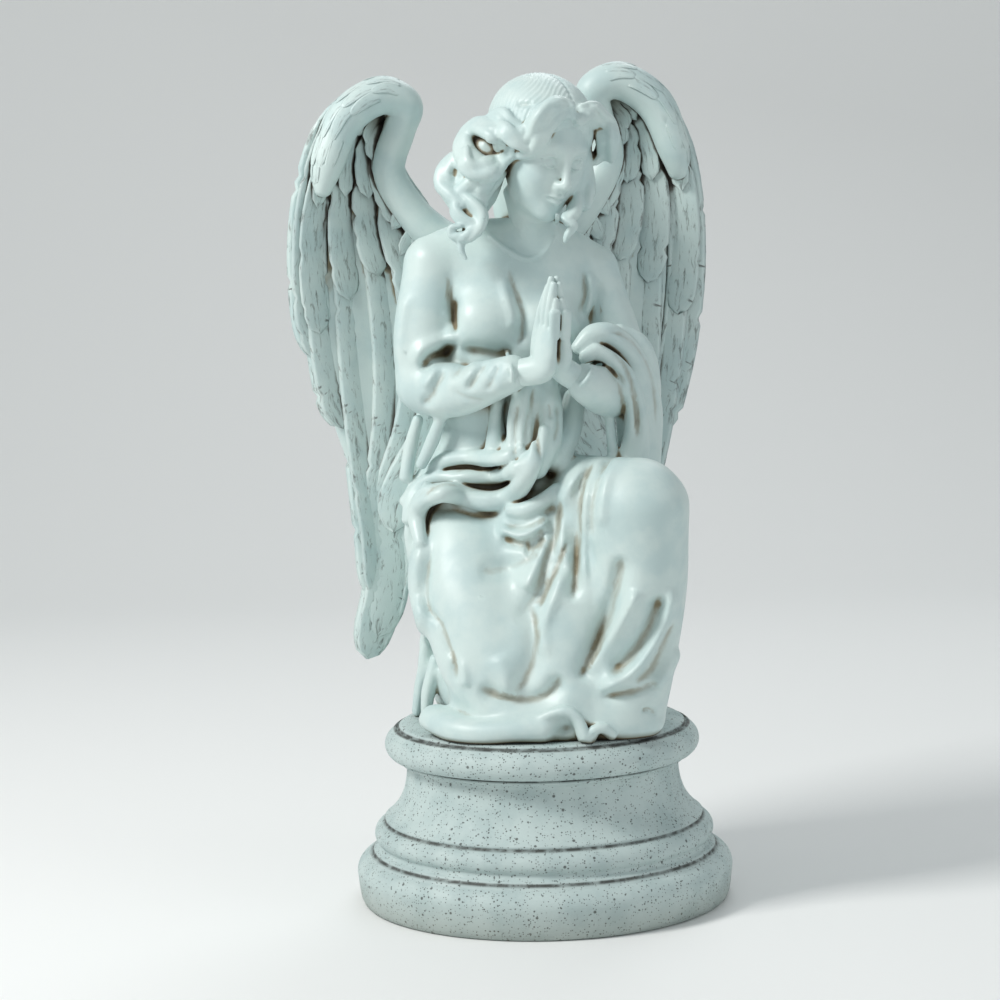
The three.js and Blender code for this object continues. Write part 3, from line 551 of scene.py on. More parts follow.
hem = {
    "foot": ([(58, -56, 14), (64, -70, 9), (68, -80, 7)], [(25, 13), (24, 11), (19, 8)]),
    "skirtFoot": [
        (
            [(-76, -52, 12), (-60, -76, 8), (-42, -88, 7), (-20, -92, 9), (0, -92, 9)],
            [(10, 12), (10, 11), (9, 9), (8, 9), (8, 9)]
        ),
        ([(70, -78, 13), (50, -84, 9), (36, -84, 8)], [(7, 5), (8, 5), (7, 5)]),
    ],
    "scrolls": [
        (
            [(-4, -90, 14), (6, -92, 19), (17, -94, 22), (25, -95, 16), (29, -97, 4)],
            [(4.2, 6), (4.2, 7), (4.4, 8), (4.2, 7), (4, 6)]
        ),
        (
            [(33, -96, 2), (37, -96, 9), (43, -95, 10), (49, -92, 4)],
            [(3.6, 5), (3.8, 5.5), (3.8, 5.5), (3.4, 4)]
        ),
    ],
    "hollows": [((17, -104, 9), (8.5, 14, 7.5)), ((43, -103, 2), (4.2, 10, 4.6))],
    "back": {  # plain hanging folds: places in degrees round the axis; half width, height and crest
        "axis": (-8, 26),
        "from": 8,
        "to": 200,
        "every": 13,
        "drift": 4,
        "levels": (-3, 45, 90, 140, 185),
        "ridge": (5.5, 3.0, 2),
        "valley": (3.0, -3.4, 1.4),
    },
    "footFolds": [
        ([(86, 36), (67, 29), (40, 25)], 3.2, -3.4, 1.4),
        ([(70, 15), (76, 16), (82, 12)], 1.6, -2.4, 1.3)
    ],
    "side": [
        ([(-92, 26, 4), (-88, 20, 26), (-82, 14, 50)], [(9, 4), (8, 5), (5, 4)]),
        ([(-84, -4, 4), (-82, -8, 24), (-76, -8, 48)], [(10, 4), (8, 5), (5, 4)]),
    ],
}
gown.limb(*hem["foot"], soft=4)
for path, half in hem["skirtFoot"]:
    gown.limb(path, half, (0, 0, 1), soft=9)
for path, half in hem["side"]:
    gown.limb(path, half, (0, 1, 0), soft=6)
for centre, radii in hem["hollows"]:
    gown.ball(centre, radii, soft=3, carve=True)
for path, half in hem["scrolls"]:
    gown.limb(path, half, (0, 0.3, 1), soft=2)
for centre, radii in hem["hollows"]:
    gown.ball(centre, (radii[0] * 0.8, radii[1], radii[2] * 0.7), soft=2, carve=True)
back = hem["back"]
for i, turn in enumerate(np.arange(back["from"], back["to"], back["every"])):
    levels = back["levels"][: 5 - i % 2]
    for shift, (width, height, crest) in ((0, back["ridge"]), (back["every"] / 2, back["valley"])):
        drifts = [back["drift"] * math.sin(2.3 * i) * k / 4 for k in range(len(levels))]
        path = [gown.outermost(turn + shift + drift, z, back["axis"]) for drift, z in zip(drifts, levels)]
        gown.fold(path, width, height * (0.8 + 0.3 * math.sin(1.7 * i)), crest, (0.01, 0.35), seen=False)
for path, width, height, crest in hem["footFolds"]:
    gown.fold(path, width, height, crest)
collar = [
    (-31.7, 373), (-30.6, 362), (-26.7, 352), (-15, 342), (-2, 335.6), (9, 338.7), (16.4, 349.6),
    (19.4, 360.6), (19.6, 369)
]
gown.roll(collar, 1.7, lift=0.4, soft=1.0)
gown.floor(bedLevel)
gownMesh = gown.mesh(body["triangles"])
print("gown done")

# Head, face and hair, in the head's own axes: X to the side, -Y out of the face, Z to the crown

headTurn = turned("Z", 32) @ turned("X", 22) @ turned("Y", 6)
head = {
    "step": 0.6 * fine,
    "triangles": 38000,
    "centre": (11, -12, 421),
    "low": (-72, -56, -100),
    "high": (56, 60, 52),
    "crown": ((0, 6, 8), (37, 42, 36)),
    "window": ((1, -41, -8), (24, 20, 29)),  # where the face looks out of the hair
}
face = {  # a place or a path, half widths and softness; what is off the middle is made on both sides
    "skull": [
        ((0, 2, 4), (31, 37, 33), 4),
        ((0, -7, -10), (27, 30, 36), 10),
        ((0, -17, -35), (17, 18, 16), 14),
        ((0, -30, -45), (6.5, 6, 6), 9),
    ],
    "cheek": ((13, -24, -20), (9, 8.5, 10), 10),
    "brow": ([(-17, -26.5, 1), (-10, -33.5, 4.5), (-2, -35.5, 2)], [3.0, 3.4, 3.0], 6),
    "socket": ((11.2, -39.5, -8), (7.4, 6.6, 6.2), 7),
    "eyeball": ((11.2, -28.2, -8.6), (6.9, 6.6, 6.3), 1.2),
    "lowerLid": ([(4.6, -32.6, -9.8), (11.2, -35.6, -11.2), (17.4, -31.6, -9.2)], [0.5, 0.9, 0.5], 0.8),
    "upperLid": ([(5.0, -33.4, -5.2), (11.2, -35.0, -2.6), (17.8, -31.0, -5.4)], [0.4, 0.8, 0.4], 1.6),
    "nose": ([(0, -34.5, 1), (0, -39, -10), (0, -43.5, -19.5)], [(2.5, 3), (2.6, 3.2), (3.4, 3.4)], 4),
    "noseTip": ((0, -43.6, -20.6), 3.5, 2.5),
    "noseWing": ((3.7, -39.2, -22.0), (2.5, 3.4, 2.5), 3),
    "underNose": ((0, -37.6, -25.4), (5, 3.4, 3.2), 4),
    "upperLip": (
        [(-8, -34.8, -31.6), (-3, -38.6, -30.4), (0, -38.6, -31.2), (3, -38.6, -30.4), (8, -34.8, -31.6)],
        [0.7, 1.7, 1.5, 1.7, 0.7], 2.2,
    ),
    "lowerLip": ([(-6.6, -35.2, -33.2), (0, -38.2, -34.8), (6.6, -35.2, -33.2)], [0.8, 2.3, 0.8], 2.2),
}
# Fine lines pressed into the face: path, half width, height, crest and the share of each end that fades
lines = {
    "lid": ([(5.2, -33.2, -10.6), (11.2, -35.8, -12.4), (17.0, -31.8, -10.4)], 0.9, -0.55, 1.5, (0.1, 0.1)),
    "mouth": (
        [(-8.6, -34.8, -32.2), (-3, -39.4, -32.3), (0, -40, -32.7), (3, -39.4, -32.3), (8.6, -34.8, -32.2)],
        0.9, -0.7, 1.4, (0.08, 0.08),
    ),
    "underNose": ([(0, -39.5, -25.5), (0, -39.5, -29)], 1.3, -0.35, 2, (0.2, 0.2)),
}
neck = [  # in the figure's axes
    ([(-3, 10, 330), (2, 4, 362), (8, -2, 392)], [(22, 20), (16.5, 16.5), (18, 18)], 8),
    ([(-6, -4, 338), (-4, -8, 352), (-14, 2, 384)], [3, 3.5, 4], 7),
]
skin = Clay(head["low"], head["high"], head["step"], headTurn, head["centre"])


def onFace(part, mirror=1, carve=False):  # adds a named part of the face, or presses it in
    place, half, soft = face[part]
    place = np.array(place, float) * (mirror, 1, 1)
    if place.ndim == 1:
        skin.ball(place, half, soft=soft, carve=carve, local=True)
    else:
        skin.limb(place, half, soft=soft, local=True)


def pressLine(name, mirror=1):
    path, width, height, crest, ends = lines[name]
    skin.fold(np.array(path, float) * (mirror, 1, 1), width, height, crest, ends, local=True, seen=False)


for centre, radii, soft in face["skull"]:
    skin.ball(centre, radii, soft=soft, local=True)
for mirror in (-1, 1):
    onFace("cheek", mirror)
    onFace("brow", mirror)
    onFace("socket", mirror, carve=True)
    onFace("eyeball", mirror)
    onFace("lowerLid", mirror)
    onFace("upperLid", mirror)
    pressLine("lid", mirror)
onFace("nose")
onFace("noseTip")
for mirror in (-1, 1):
    onFace("noseWing", mirror)
onFace("underNose")
onFace("upperLip")
onFace("lowerLip")
pressLine("mouth")
pressLine("underNose")
for path, half, soft in neck:
    skin.limb(path, half, soft=soft)
print("head: face and neck")

hair = Clay(head["low"], head["high"], head["step"], headTurn, head["centre"])
hair.ball(*head["crown"], soft=2, local=True)
hair.ball(*head["window"], soft=5, carve=True, local=True)
strands = {  # fine lines combed into the crown, and the parting
    "spacing": 2.3,
    "depth": 0.26,
    "parting": 1,
    "partingDepth": 1.1,
    "fuller": 1.26,  # all locks are this much thicker than listed
}
hair.field = np.minimum(hair.field, skin.field)
locks = {  # (path as seen, half widths, lift, flutes)
    "waves": [
        (
            [(35, 431), (27, 436), (20, 434), (13, 427), (9, 419), (5, 412), (-2, 409), (-9, 409)],
            [2.5, 4.5, 5.5, 5.5, 5, 4.5, 4, 3], 1.2, 3
        ),
        (
            [
                (31, 440), (20, 441), (9, 433), (4, 424), (-4, 421), (-11, 427), (-16, 434), (-23, 431),
                (-30, 426)
            ],
            [3, 5, 5.5, 6, 6, 5.5, 5, 5, 4], 0.6, 4
        ),
        ([(-24, 427), (-15, 424), (-8, 417), (-1, 412)], [4, 5, 4.5, 3], 0.8, 3),
        (
            [(36, 429), (41, 432), (48, 427.5), (53, 418), (52, 409), (47, 402)], [2.5, 4, 5, 5, 4.5, 3],
            1.0, 3
        ),
        ([(38, 438), (47, 437), (55, 428), (58, 417), (57, 405)], [3, 4.5, 5, 5, 4], 0.0, 4),
        (
            [
                (-10, 411), (-16, 414), (-23, 421), (-32, 427), (-39, 422), (-43, 414), (-40, 405),
                (-30, 400), (-19, 403), (-10, 408)
            ],
            [3.5, 5, 5.5, 6, 6.5, 6.5, 6.5, 6, 5, 3], 0.5, 3
        ),
        ([(-42, 411), (-42, 402), (-36, 397), (-26, 395), (-18, 400)], [3.5, 5, 5.5, 5, 3], -2.0, 3),
    ],
    "curls": [  # (path in the figure's axes, half widths, flutes)
        (
            [
                (-40, -12, 410), (-50, -14, 407), (-57, -16, 398), (-58, -18, 389), (-53, -24, 381),
                (-47, -28, 374)
            ],
            [5, 6, 6.5, 6.5, 6, 5], 3
        ),
        (
            [(-22, -24, 400), (-30, -26, 393), (-39, -24, 388), (-47, -22, 383), (-51, -24, 375)],
            [6, 8, 8, 7, 4.5], 4
        ),
        ([(-34, -14, 404), (-42, -12, 396), (-48, -14, 388), (-50, -18, 380)], [8, 9, 8, 6], 4),
        (
            [(-50, -25, 380), (-51, -31, 371), (-46, -34, 364), (-40, -35, 360), (-36, -34, 354)],
            [4, 4, 3.8, 3.5, 2], 3
        ),
        (
            [
                (-46, -26, 382), (-39, -31, 375), (-34, -34, 368), (-35, -36, 360), (-41, -37, 354),
                (-48, -36, 352), (-54, -35, 354), (-54, -36, 359), (-48, -38, 360)
            ],
            [4.5, 4.8, 4.6, 4.2, 3.8, 3.2, 2.8, 2.2, 1.2], 3
        ),
        ([(-44, -34, 354), (-48, -35, 348), (-48, -36, 343), (-45, -36, 337)], [2.2, 2.2, 1.8, 0.9], 2),
        ([(-28, -10, 396), (-32, -12, 384), (-36, -16, 372), (-36, -22, 362)], [8, 8, 6, 4], 3),
        (
            [
                (33, -2, 400), (34, -14, 380), (32, -26, 368), (27, -31, 363), (31, -33, 358),
                (27, -34, 352), (25, -33, 347)
            ],
            [6, 5, 4.2, 3.4, 2.6, 2.0, 1.0], 3
        ),
        ([(38, 0, 402), (42, -8, 384), (40, -16, 372)], [6, 5.5, 3.5], 3),
    ],
    "mass": [
        (
            [(-14, -12, 424), (-30, -14, 410), (-42, -16, 394), (-45, -22, 376)],
            [(14, 14), (16, 13), (13, 11), (8, 8)]
        ),
        (
            [(-26, -16, 404), (-34, -22, 388), (-40, -28, 368), (-44, -32, 352)],
            [(10, 10), (11, 9), (7, 6), (4, 4)]
        ),
        ([(34, 4, 414), (37, -4, 396), (36, -12, 378)], [(10, 12), (8, 10), (5, 6)])
    ],
    "fill": [((-26, -20, 414), 11), ((-42, -19, 404), 10.5), ((35, -10, 406), 8.5)],
    "cheek": ([(33, -2, 426), (37, -5, 408), (37, -6, 390)], [(9, 12), (9.5, 12), (7, 9)]),
    "pressed": [  # hollows between the locks: path as seen, half width and height
        ([(-30, 416), (-23, 413), (-16, 411)], 3.4, -2.2),
        ([(-50, 400), (-53, 394)], 2.4, -1.2),
        ([(-7, 442), (5.5, 442)], 1.6, -1.2),
        ([(-8.5, 438), (4, 434)], 1.5, -1.2),
        ([(18.6, 440), (27, 441), (31, 437)], 1.5, -1.0),
        ([(41, 441), (48, 437), (53, 429)], 1.5, -1.0),
    ],
    "nape": [
        (
            [(12, 26, 432), (6, 34, 400), (2, 38, 366), (-4, 40, 340)],
            [(30, 14), (34, 17), (28, 14), (12, 6)]
        )
    ],
    "back": [
        (
            [
                (12 + 9 * i, 30, 436), (6 + 11 * i, 48 - 2.2 * i * i, 404),
                (2 + 9 * i + 3 * math.cos(5 * i), 54 - 2.4 * i * i, 372), (-2 + 6 * i, 44 - 2 * i * i, 346)
            ],
            [6, 7.5, 7, 3.5], 4
        ) for i in (-2.4, -1.2, 0, 1.2, 2.4)
    ],
}
for path, half in locks["nape"] + locks["mass"]:
    hair.limb(path, half, (1, 0, 0), soft=4)
for centre, radius in locks["fill"]:
    hair.ball(centre, radius, soft=4)
hair.limb(*locks["cheek"], soft=4)
for path, half, flutes in locks["back"]:
    hair.limb(path, half, soft=1.5, flutes=flutes, flute=0.1, spin=0.25)
x, y, z = [hair.low[k] + hair.step * np.arange(hair.size[k]) for k in range(3)]
atX, atY, atZ = x[:, None, None], y[None, :, None], z[None, None, :]
crownPart = np.clip(atZ / 8, 0, 1) * ((hair.field < 3) & (skin.field > 0.8))
sway = atY * 0.85 + 0.55 * np.abs(atX - strands["parting"]) + 2.2 * np.sin(0.13 * atX + 0.11 * atZ)
comb = np.sin(sway * 2 * math.pi / strands["spacing"] / 1.6)
parting = np.exp(-(((atX - strands["parting"]) / 1.1) ** 2)) * np.clip((atZ - 20) / 10, 0, 1)
hair.field += ((strands["depth"] * comb + strands["partingDepth"] * parting) * crownPart).astype(np.float32)
for path, half, flutes in locks["curls"]:
    hair.limb(path, [strands["fuller"] * h for h in half], soft=1.6, flutes=flutes, flute=0.12, spin=0.3)
for path, half, lift, flutes in locks["waves"]:
    hair.roll(
        path, [strands["fuller"] * h for h in half], lift=lift, soft=1.8, flutes=flutes, flute=0.12,
        spin=0.22
    )
for path, width, height in locks["pressed"]:
    hair.fold(path, width, height, 1.6)
headMesh = hair.mesh(head["triangles"])
print("head done")

# Praying hands

hand = {
    "step": 0.6 * fine,
    "triangles": 11000,
    "heel": (13, -68, 256),
    "tips": (17, -88, 322),
    "turn": 34,
    "pitch": 5.6,  # from one finger to the next
    "wrist": {1: [(-27, -53, 252), (-13, -61, 256)], -1: [(48, -44, 244), (37, -56, 248)]},
    "palm": [(0.06, 8, -1), (0.22, 6.6, 0), (0.48, 4.6, 0)],  # share of the way to the tips, outward, forward
    "palmHalf": [(10, 10), (9.5, 9.5), (8.5, 10.5), (6.4, 12), (4.4, 10.5)],
    "thumb": [(0.06, 6, -9), (0.32, 4.6, -13), (0.58, 3.6, -12)],
    "thumbHalf": [5, 4.2, 3.2],
    # Place, reach, half width
    "fingers": [(-1.5, 0.92, 2.9), (-0.5, 1.0, 3.0), (0.5, 0.94, 2.9), (1.5, 0.78, 2.6)],
}
palms = Clay((-36, -104, 226), (54, -30, 330), hand["step"])
heel, tips = np.array(hand["heel"], float), np.array(hand["tips"], float)
acrossHand = np.array([-math.cos(math.radians(hand["turn"])), -math.sin(math.radians(hand["turn"])), 0])
forwardHand = np.array([-acrossHand[1], acrossHand[0], 0])


def onHand(side, share, outward, forward):
    return heel + (tips - heel) * share + acrossHand * side * outward + forwardHand * forward


for side in (1, -1):
    path = hand["wrist"][side] + [onHand(side, *place) for place in hand["palm"]]
    palms.limb(path, hand["palmHalf"], acrossHand, soft=3)
    for forward, reach, half in hand["fingers"]:
        out = forward * hand["pitch"]
        joints = [
            (0.38, 4.6, out), (0.62, 4.6, out * 0.98), (0.82 * reach, 3.6, out * 0.85),
            (reach, 2.2, out * 0.62)
        ]
        halves = [(4.2, half), (4.2, half + 0.1), (3.6, half - 0.2), (2.0, half - 0.9)]
        palms.limb([onHand(side, *joint) for joint in joints], halves, acrossHand, soft=0.7)
    palms.limb([onHand(side, *place) for place in hand["thumb"]], hand["thumbHalf"], acrossHand, soft=2)
handMesh = palms.mesh(hand["triangles"])
print("hands done")

# Wings: a hollowed leaf-shaped sheet, a thick leading edge, and rows of feathers that Geometry Nodes sweep
# along their quills

wing = {
    "spine": (-10, 25, 0),
    "turn": 15,
    "hollow": 16,
    "lift": {-1: 0, 1: 8 / 390},
    "outer": [
        (84, 38, 462), (124, 34, 448), (149, 36, 395), (157, 44, 330), (151, 50, 266), (134, 50, 212),
        (112, 48, 155), (108, 44, 96), (124, 38, 38)
    ],
    "inner": [
        (66, 40, 448), (76, 44, 404), (52, 42, 362), (32, 40, 318), (26, 40, 262), (44, 44, 208),
        (80, 48, 156), (84, 46, 104), (101, 40, 46)
    ],
    "arm": [
        (12, 18, 330), (40, 36, 346), (66, 40, 370), (84, 42, 402), (76, 40, 432), (72, 36, 450),
        (92, 32, 457), (118, 30, 440), (132, 30, 408), (136, 32, 390)
    ],
    "armHalf": [16, (18, 16), 13, (11, 12), 12, (14, 13), 14, 14, (13, 12), (8, 7)],
    "root": [(16, 16, 324), (24, 28, 296), (26, 30, 250), (34, 36, 210)],
    "rootHalf": [16, 15, 13, 8],
    "core": 5.0,  # thickness of the sheet under the feathers
    "lean": 0.25,  # how far each feather turns over its neighbour
    "step": 1.3 * fine,
    "triangles": 4500,
}
thinnest = 0.12  # half width of a feather at its very tip
bodyAcross = np.array([math.cos(math.radians(wing["turn"])), math.sin(math.radians(wing["turn"])), 0])
bodyBack = np.array([-bodyAcross[1], bodyAcross[0], 0])


def placeOnWing(measured, side):
    m = np.atleast_2d(np.asarray(measured, float))
    p = np.array(wing["spine"], float) + side * m[:, :1] * bodyAcross + m[:, 1:2] * bodyBack
    p[:, 2] = m[:, 2] * (1 + wing["lift"][side])
    return p


def wingSheet(s, v, side):  # s from the inner edge to the outer, v from the top to the tip
    s, v = np.broadcast_arrays(np.asarray(s, float), np.asarray(v, float))
    s, v = np.atleast_1d(s), np.atleast_1d(v)
    inner, outer = spline(wing["inner"], v), spline(wing["outer"], v)
    m = inner + (outer - inner) * s[:, None]
    m[:, 1] += wing["hollow"] * np.sin(math.pi * np.clip(s, 0, 1)) * (1 - np.clip(v, 0, 1))
    return placeOnWing(m, side)


def wingNormal(s, v, side):
    step = 0.01
    low = np.minimum(v, 1 - step)
    n = np.cross(
        wingSheet(s + step, low, side) - wingSheet(s - step, low, side),
        wingSheet(s, low + step, side) - wingSheet(s, low, side)
    )
    n /= np.linalg.norm(n, axis=1)[:, None]
    return np.where((n @ bodyBack > 0)[:, None], -n, n)


def quill(side, face, root, tip, high, width, seed, bow=0.0, nicks=0):
    # One feather as points, normals and half widths. Root and tip are (s, v), and high is its height there
    # over the sheet.
    chance = np.random.default_rng(seed + 10)
    length = np.linalg.norm(wingSheet(*root, side) - wingSheet(*tip, side))
    count = int(max(8, length / 4.4))
    t = np.linspace(0, 1, count)
    s = root[0] + (tip[0] - root[0]) * t + bow * np.sin(math.pi * t)
    v = root[1] + (tip[1] - root[1]) * t
    n = wingNormal(s, v, side) * face
    p = wingSheet(s, v, side) + n * (high[0] + (high[1] - high[0]) * t)[:, None]
    ahead = np.gradient(p, axis=0)
    ahead /= np.linalg.norm(ahead, axis=1)[:, None]
    sideways = np.cross(ahead, n)
    n = n + wing["lean"] * side * face * sideways
    n /= np.linalg.norm(n, axis=1)[:, None]
    tipShare = 0.9 * width / max(length, 1)
    rounding = np.clip((t - (1 - tipShare)) / tipShare, 0, 1)
    half = width / 2 * np.minimum(0.55 + 1.6 * t, 1) * np.sqrt(np.clip(1 - rounding**2.2, 0.0, 1))
    half[-1] = thinnest
    for _ in range(nicks):
        half[chance.integers(count // 4, max(count - 3, count // 4 + 1))] *= 0.86
    return p, n, np.maximum(half, thinnest)


feathers = {
    "flight": dict(
        count=6, width=31, high=(-1.0, 1.0), rootS=[0.88, 0.08], rootV=[0.05, 0.12],
        tipS=[0.9, 0.86, 0.75, 0.5, 0.3, 0.14], tipV=[0.5, 0.62, 0.9, 1.0, 0.97, 0.8],
        farTipV=[0.66, 0.76, 0.92, 1.0, 0.97, 0.8], bow=0.02, nicks=3
    ),
    "long coverts": dict(
        count=5, width=24, high=(2.5, 5.0), rootS=[0.84, 0.1], rootV=[0.12, 0.24], tipS=[0.88, 0.08],
        tipV=[0.46, 0.41, 0.37, 0.42, 0.52], bow=0.04, nicks=3
    ),
    "mid coverts": dict(
        count=5, width=17, high=(4.0, 7.5), rootS=[0.82, 0.15], rootV=[0.06, 0.16], tipS=[0.9, 0.08],
        tipV=[0.28, 0.25, 0.24, 0.27, 0.36], bow=0.03, nicks=2
    ),
    "scapulars": dict(
        count=6, width=13, high=(5.5, 9.5), rootS=[0.8, 0.1], rootV=[0.02, 0.1], tipS=[0.84, 0.1],
        tipV=[0.15, 0.14, 0.14, 0.16, 0.2, 0.26], bow=0.0, nicks=1
    ),
}


smallFeathers = [  # come down beside the shoulder, each further down the wing than the last
    {
        "count": 7,
        "start": 0.2,
        "apart": 0.045,
        "rootS": 0.04,
        "rootUp": 0.02,
        "tipS": 0.34,
        "tipIn": 0.015,
        "tipDown": 0.085,
        "high": (8, 10),
        "rise": 0.4,
        "width": 12,
        "seed": 900,
        "nicks": 2
    },
    {
        "count": 5,
        "start": 0.3,
        "apart": 0.05,
        "rootS": 0.0,
        "rootUp": 0.0,
        "tipS": 0.2,
        "tipIn": 0.0,
        "tipDown": 0.1,
        "high": (11, 13),
        "rise": 0.3,
        "width": 10,
        "seed": 950,
        "nicks": 1
    },
]
scales = {  # shallow feathers round the leading edge: shares of its length, and mm
    "rings": 5,
    "from": 0.62,
    "to": 0.9,
    "long": 0.085,
    "round": 5,
    "apart": 0.62,
    "half": 5.2,
    "sunk": 0.9,
}


def featherQuills(side):
    made = []
    for row, (name, f) in enumerate(feathers.items()):
        for face in (1, -1):
            for i in range(f["count"]):
                m = i / (f["count"] - 1)
                root = (float(along(f["rootS"], m)[0]), float(along(f["rootV"], m)[0]))
                tip = (
                    float(along(f["tipS"], m)[0]),
                    float(along(f["farTipV" if side > 0 and "farTipV" in f else "tipV"], m)[0])
                )
                high = (f["high"][0] + 0.35 * i, f["high"][1] + 0.5 * i)
                if face < 0:
                    high = (high[0] * 0.6 + 1, high[1] * 0.6 + 1)
                made.append(
                    quill(
                        side, face, root, tip, high, f["width"], 100 * row + 10 * i + face + side, f["bow"],
                        nicks=f["nicks"]
                    )
                )
    for f in smallFeathers:
        for i in range(f["count"]):
            v = f["start"] + f["apart"] * i
            root, tip = (f["rootS"], v - f["rootUp"]), (f["tipS"] - f["tipIn"] * i, v + f["tipDown"])
            high = (f["high"][0], f["high"][1] + f["rise"] * i)
            made.append(quill(side, 1, root, tip, high, f["width"], f["seed"] + i + side, nicks=f["nicks"]))
    return made


def scaleQuills(side):
    steps, points = 240, 9
    line = placeOnWing(spline(wing["arm"], np.linspace(0, 1, steps)), side)
    halves = along([np.mean(h) for h in wing["armHalf"]], np.linspace(0, 1, steps))
    made = []
    for ring, start in enumerate(np.linspace(scales["from"], scales["to"], scales["rings"])):
        for j in range(scales["round"]):
            turn = (j - 2 + 0.5 * (ring % 2)) * scales["apart"]
            t = np.linspace(start, start + scales["long"], points)
            index = np.clip((t * (steps - 1)).astype(int), 0, steps - 2)
            c = line[index]
            ahead = line[np.minimum(index + 2, steps - 1)] - line[np.maximum(index - 2, 0)]
            ahead /= np.linalg.norm(ahead, axis=1)[:, None]
            out = np.cross(ahead, bodyBack) * side
            out /= np.linalg.norm(out, axis=1)[:, None]
            front = np.cross(out, ahead)
            front = np.where((front @ bodyBack > 0)[:, None], -front, front)
            n = math.cos(turn) * out + math.sin(turn) * front
            p = c + n * (halves[index] - scales["sunk"] + np.linspace(0, 1.0, points))[:, None]
            half = scales["half"] * np.sqrt(np.clip(1 - np.linspace(0.2, 1, points) ** 3, 0, 1))
            made.append((p, n, np.maximum(half, thinnest)))
    return made


def addNode(tree, kind, wires=(), **settings):
    made = tree.nodes.new(kind)
    for name, value in settings.items():
        setattr(made, name, value)
    for key, value in dict(wires).items():
        socket = made.inputs[key]
        if isinstance(value, bpy.types.NodeSocket):
            tree.links.new(value, socket)
        else:
            socket.default_value = value
    return made


def geometryTree(name, inputs, output):  # a tree with those named inputs and one geometry out
    tree = bpy.data.node_groups.new(name, "GeometryNodeTree")
    for key, kind in inputs.items():
        tree.interface.new_socket(key, in_out="INPUT", socket_type="NodeSocket" + kind)
    tree.interface.new_socket(output, in_out="OUTPUT", socket_type="NodeSocketGeometry")
    return tree, addNode(tree, "NodeGroupInput").outputs


# Sweeps a feather's section along each quill; the blade's own places are kept for its finish
def quillTree():
    inputs = {
        "Quills": "Geometry",
        "Section points": "Int",
        "Thickness": "Float",
        "Shaft height": "Float",
        "Barb depth": "Float",
        "Barb spacing": "Float",
        "Finish": "Material",
    }
    tree, given = geometryTree("feathersOnQuills", inputs, "Feathers")

    def named(name, kind):
        return addNode(
            tree, "GeometryNodeInputNamedAttribute", {"Name": name}, data_type=kind
        ).outputs["Attribute"]

    def maths(operation, a, b=0.0, c=0.0):
        return addNode(tree, "ShaderNodeMath", {0: a, 1: b, 2: c}, operation=operation).outputs[0]

    curve = addNode(tree, "GeometryNodeMeshToCurve", {"Mesh": given["Quills"]}).outputs["Curve"]
    curve = addNode(
        tree, "GeometryNodeSetCurveRadius", {"Curve": curve, "Radius": named("half", "FLOAT")}
    ).outputs["Curve"]
    curve = addNode(
        tree, "GeometryNodeSetCurveNormal", {"Curve": curve, "Normal": named("face", "FLOAT_VECTOR")},
        mode="FREE"
    ).outputs["Curve"]
    length = addNode(tree, "GeometryNodeSplineParameter").outputs["Length"]
    curve = addNode(
        tree, "GeometryNodeStoreNamedAttribute", {"Geometry": curve, "Name": "run", "Value": length},
        data_type="FLOAT", domain="POINT"
    ).outputs["Geometry"]
    ring = addNode(
        tree, "GeometryNodeCurvePrimitiveCircle", {"Resolution": given["Section points"], "Radius": 1.0}
    ).outputs["Curve"]
    place = addNode(tree, "GeometryNodeInputPosition").outputs[0]
    parts = addNode(tree, "ShaderNodeSeparateXYZ", {0: place}).outputs
    shaft = maths(
        "MULTIPLY",
        maths("MAXIMUM", maths("SUBTRACT", 1.0, maths("MULTIPLY", maths("ABSOLUTE", parts[0]), 4.5)), 0.0),
        given["Shaft height"]
    )
    thin = maths(
        "MULTIPLY", maths("SUBTRACT", parts[1], maths("MULTIPLY", shaft, maths("SIGN", parts[1]))),
        given["Thickness"]
    )
    flat = addNode(tree, "ShaderNodeCombineXYZ", {0: thin, 1: parts[0]}).outputs[0]
    ring = addNode(
        tree, "GeometryNodeStoreNamedAttribute", {"Geometry": ring, "Name": "across", "Value": parts[0]},
        data_type="FLOAT", domain="POINT"
    ).outputs["Geometry"]
    ring = addNode(tree, "GeometryNodeSetPosition", {"Geometry": ring, "Position": flat}).outputs["Geometry"]
    swept = addNode(
        tree, "GeometryNodeCurveToMesh",
        {
            "Curve": curve,
            "Profile Curve": ring,
            "Fill Caps": True,
            "Scale": addNode(tree, "GeometryNodeInputRadius").outputs[0]
        }
    ).outputs["Mesh"]
    across, run = named("across", "FLOAT"), named("run", "FLOAT")
    slant = maths(
        "MULTIPLY_ADD", maths("ABSOLUTE", across), -1.6, maths("DIVIDE", run, given["Barb spacing"])
    )
    groove = maths("MULTIPLY", maths("COSINE", maths("MULTIPLY", slant, 2 * math.pi)), given["Barb depth"])
    normal = addNode(tree, "GeometryNodeInputNormal").outputs[0]
    shift = addNode(tree, "ShaderNodeVectorMath", {0: normal, "Scale": groove}, operation="SCALE").outputs[0]
    swept = addNode(tree, "GeometryNodeSetPosition", {"Geometry": swept, "Offset": shift}).outputs["Geometry"]
    swept = addNode(tree, "GeometryNodeRealizeInstances", {"Geometry": swept}).outputs["Geometry"]
    swept = addNode(
        tree, "GeometryNodeSetMaterial", {"Geometry": swept, "Material": given["Finish"]}
    ).outputs["Geometry"]
    tree.links.new(swept, addNode(tree, "NodeGroupOutput").inputs[0])
    return tree


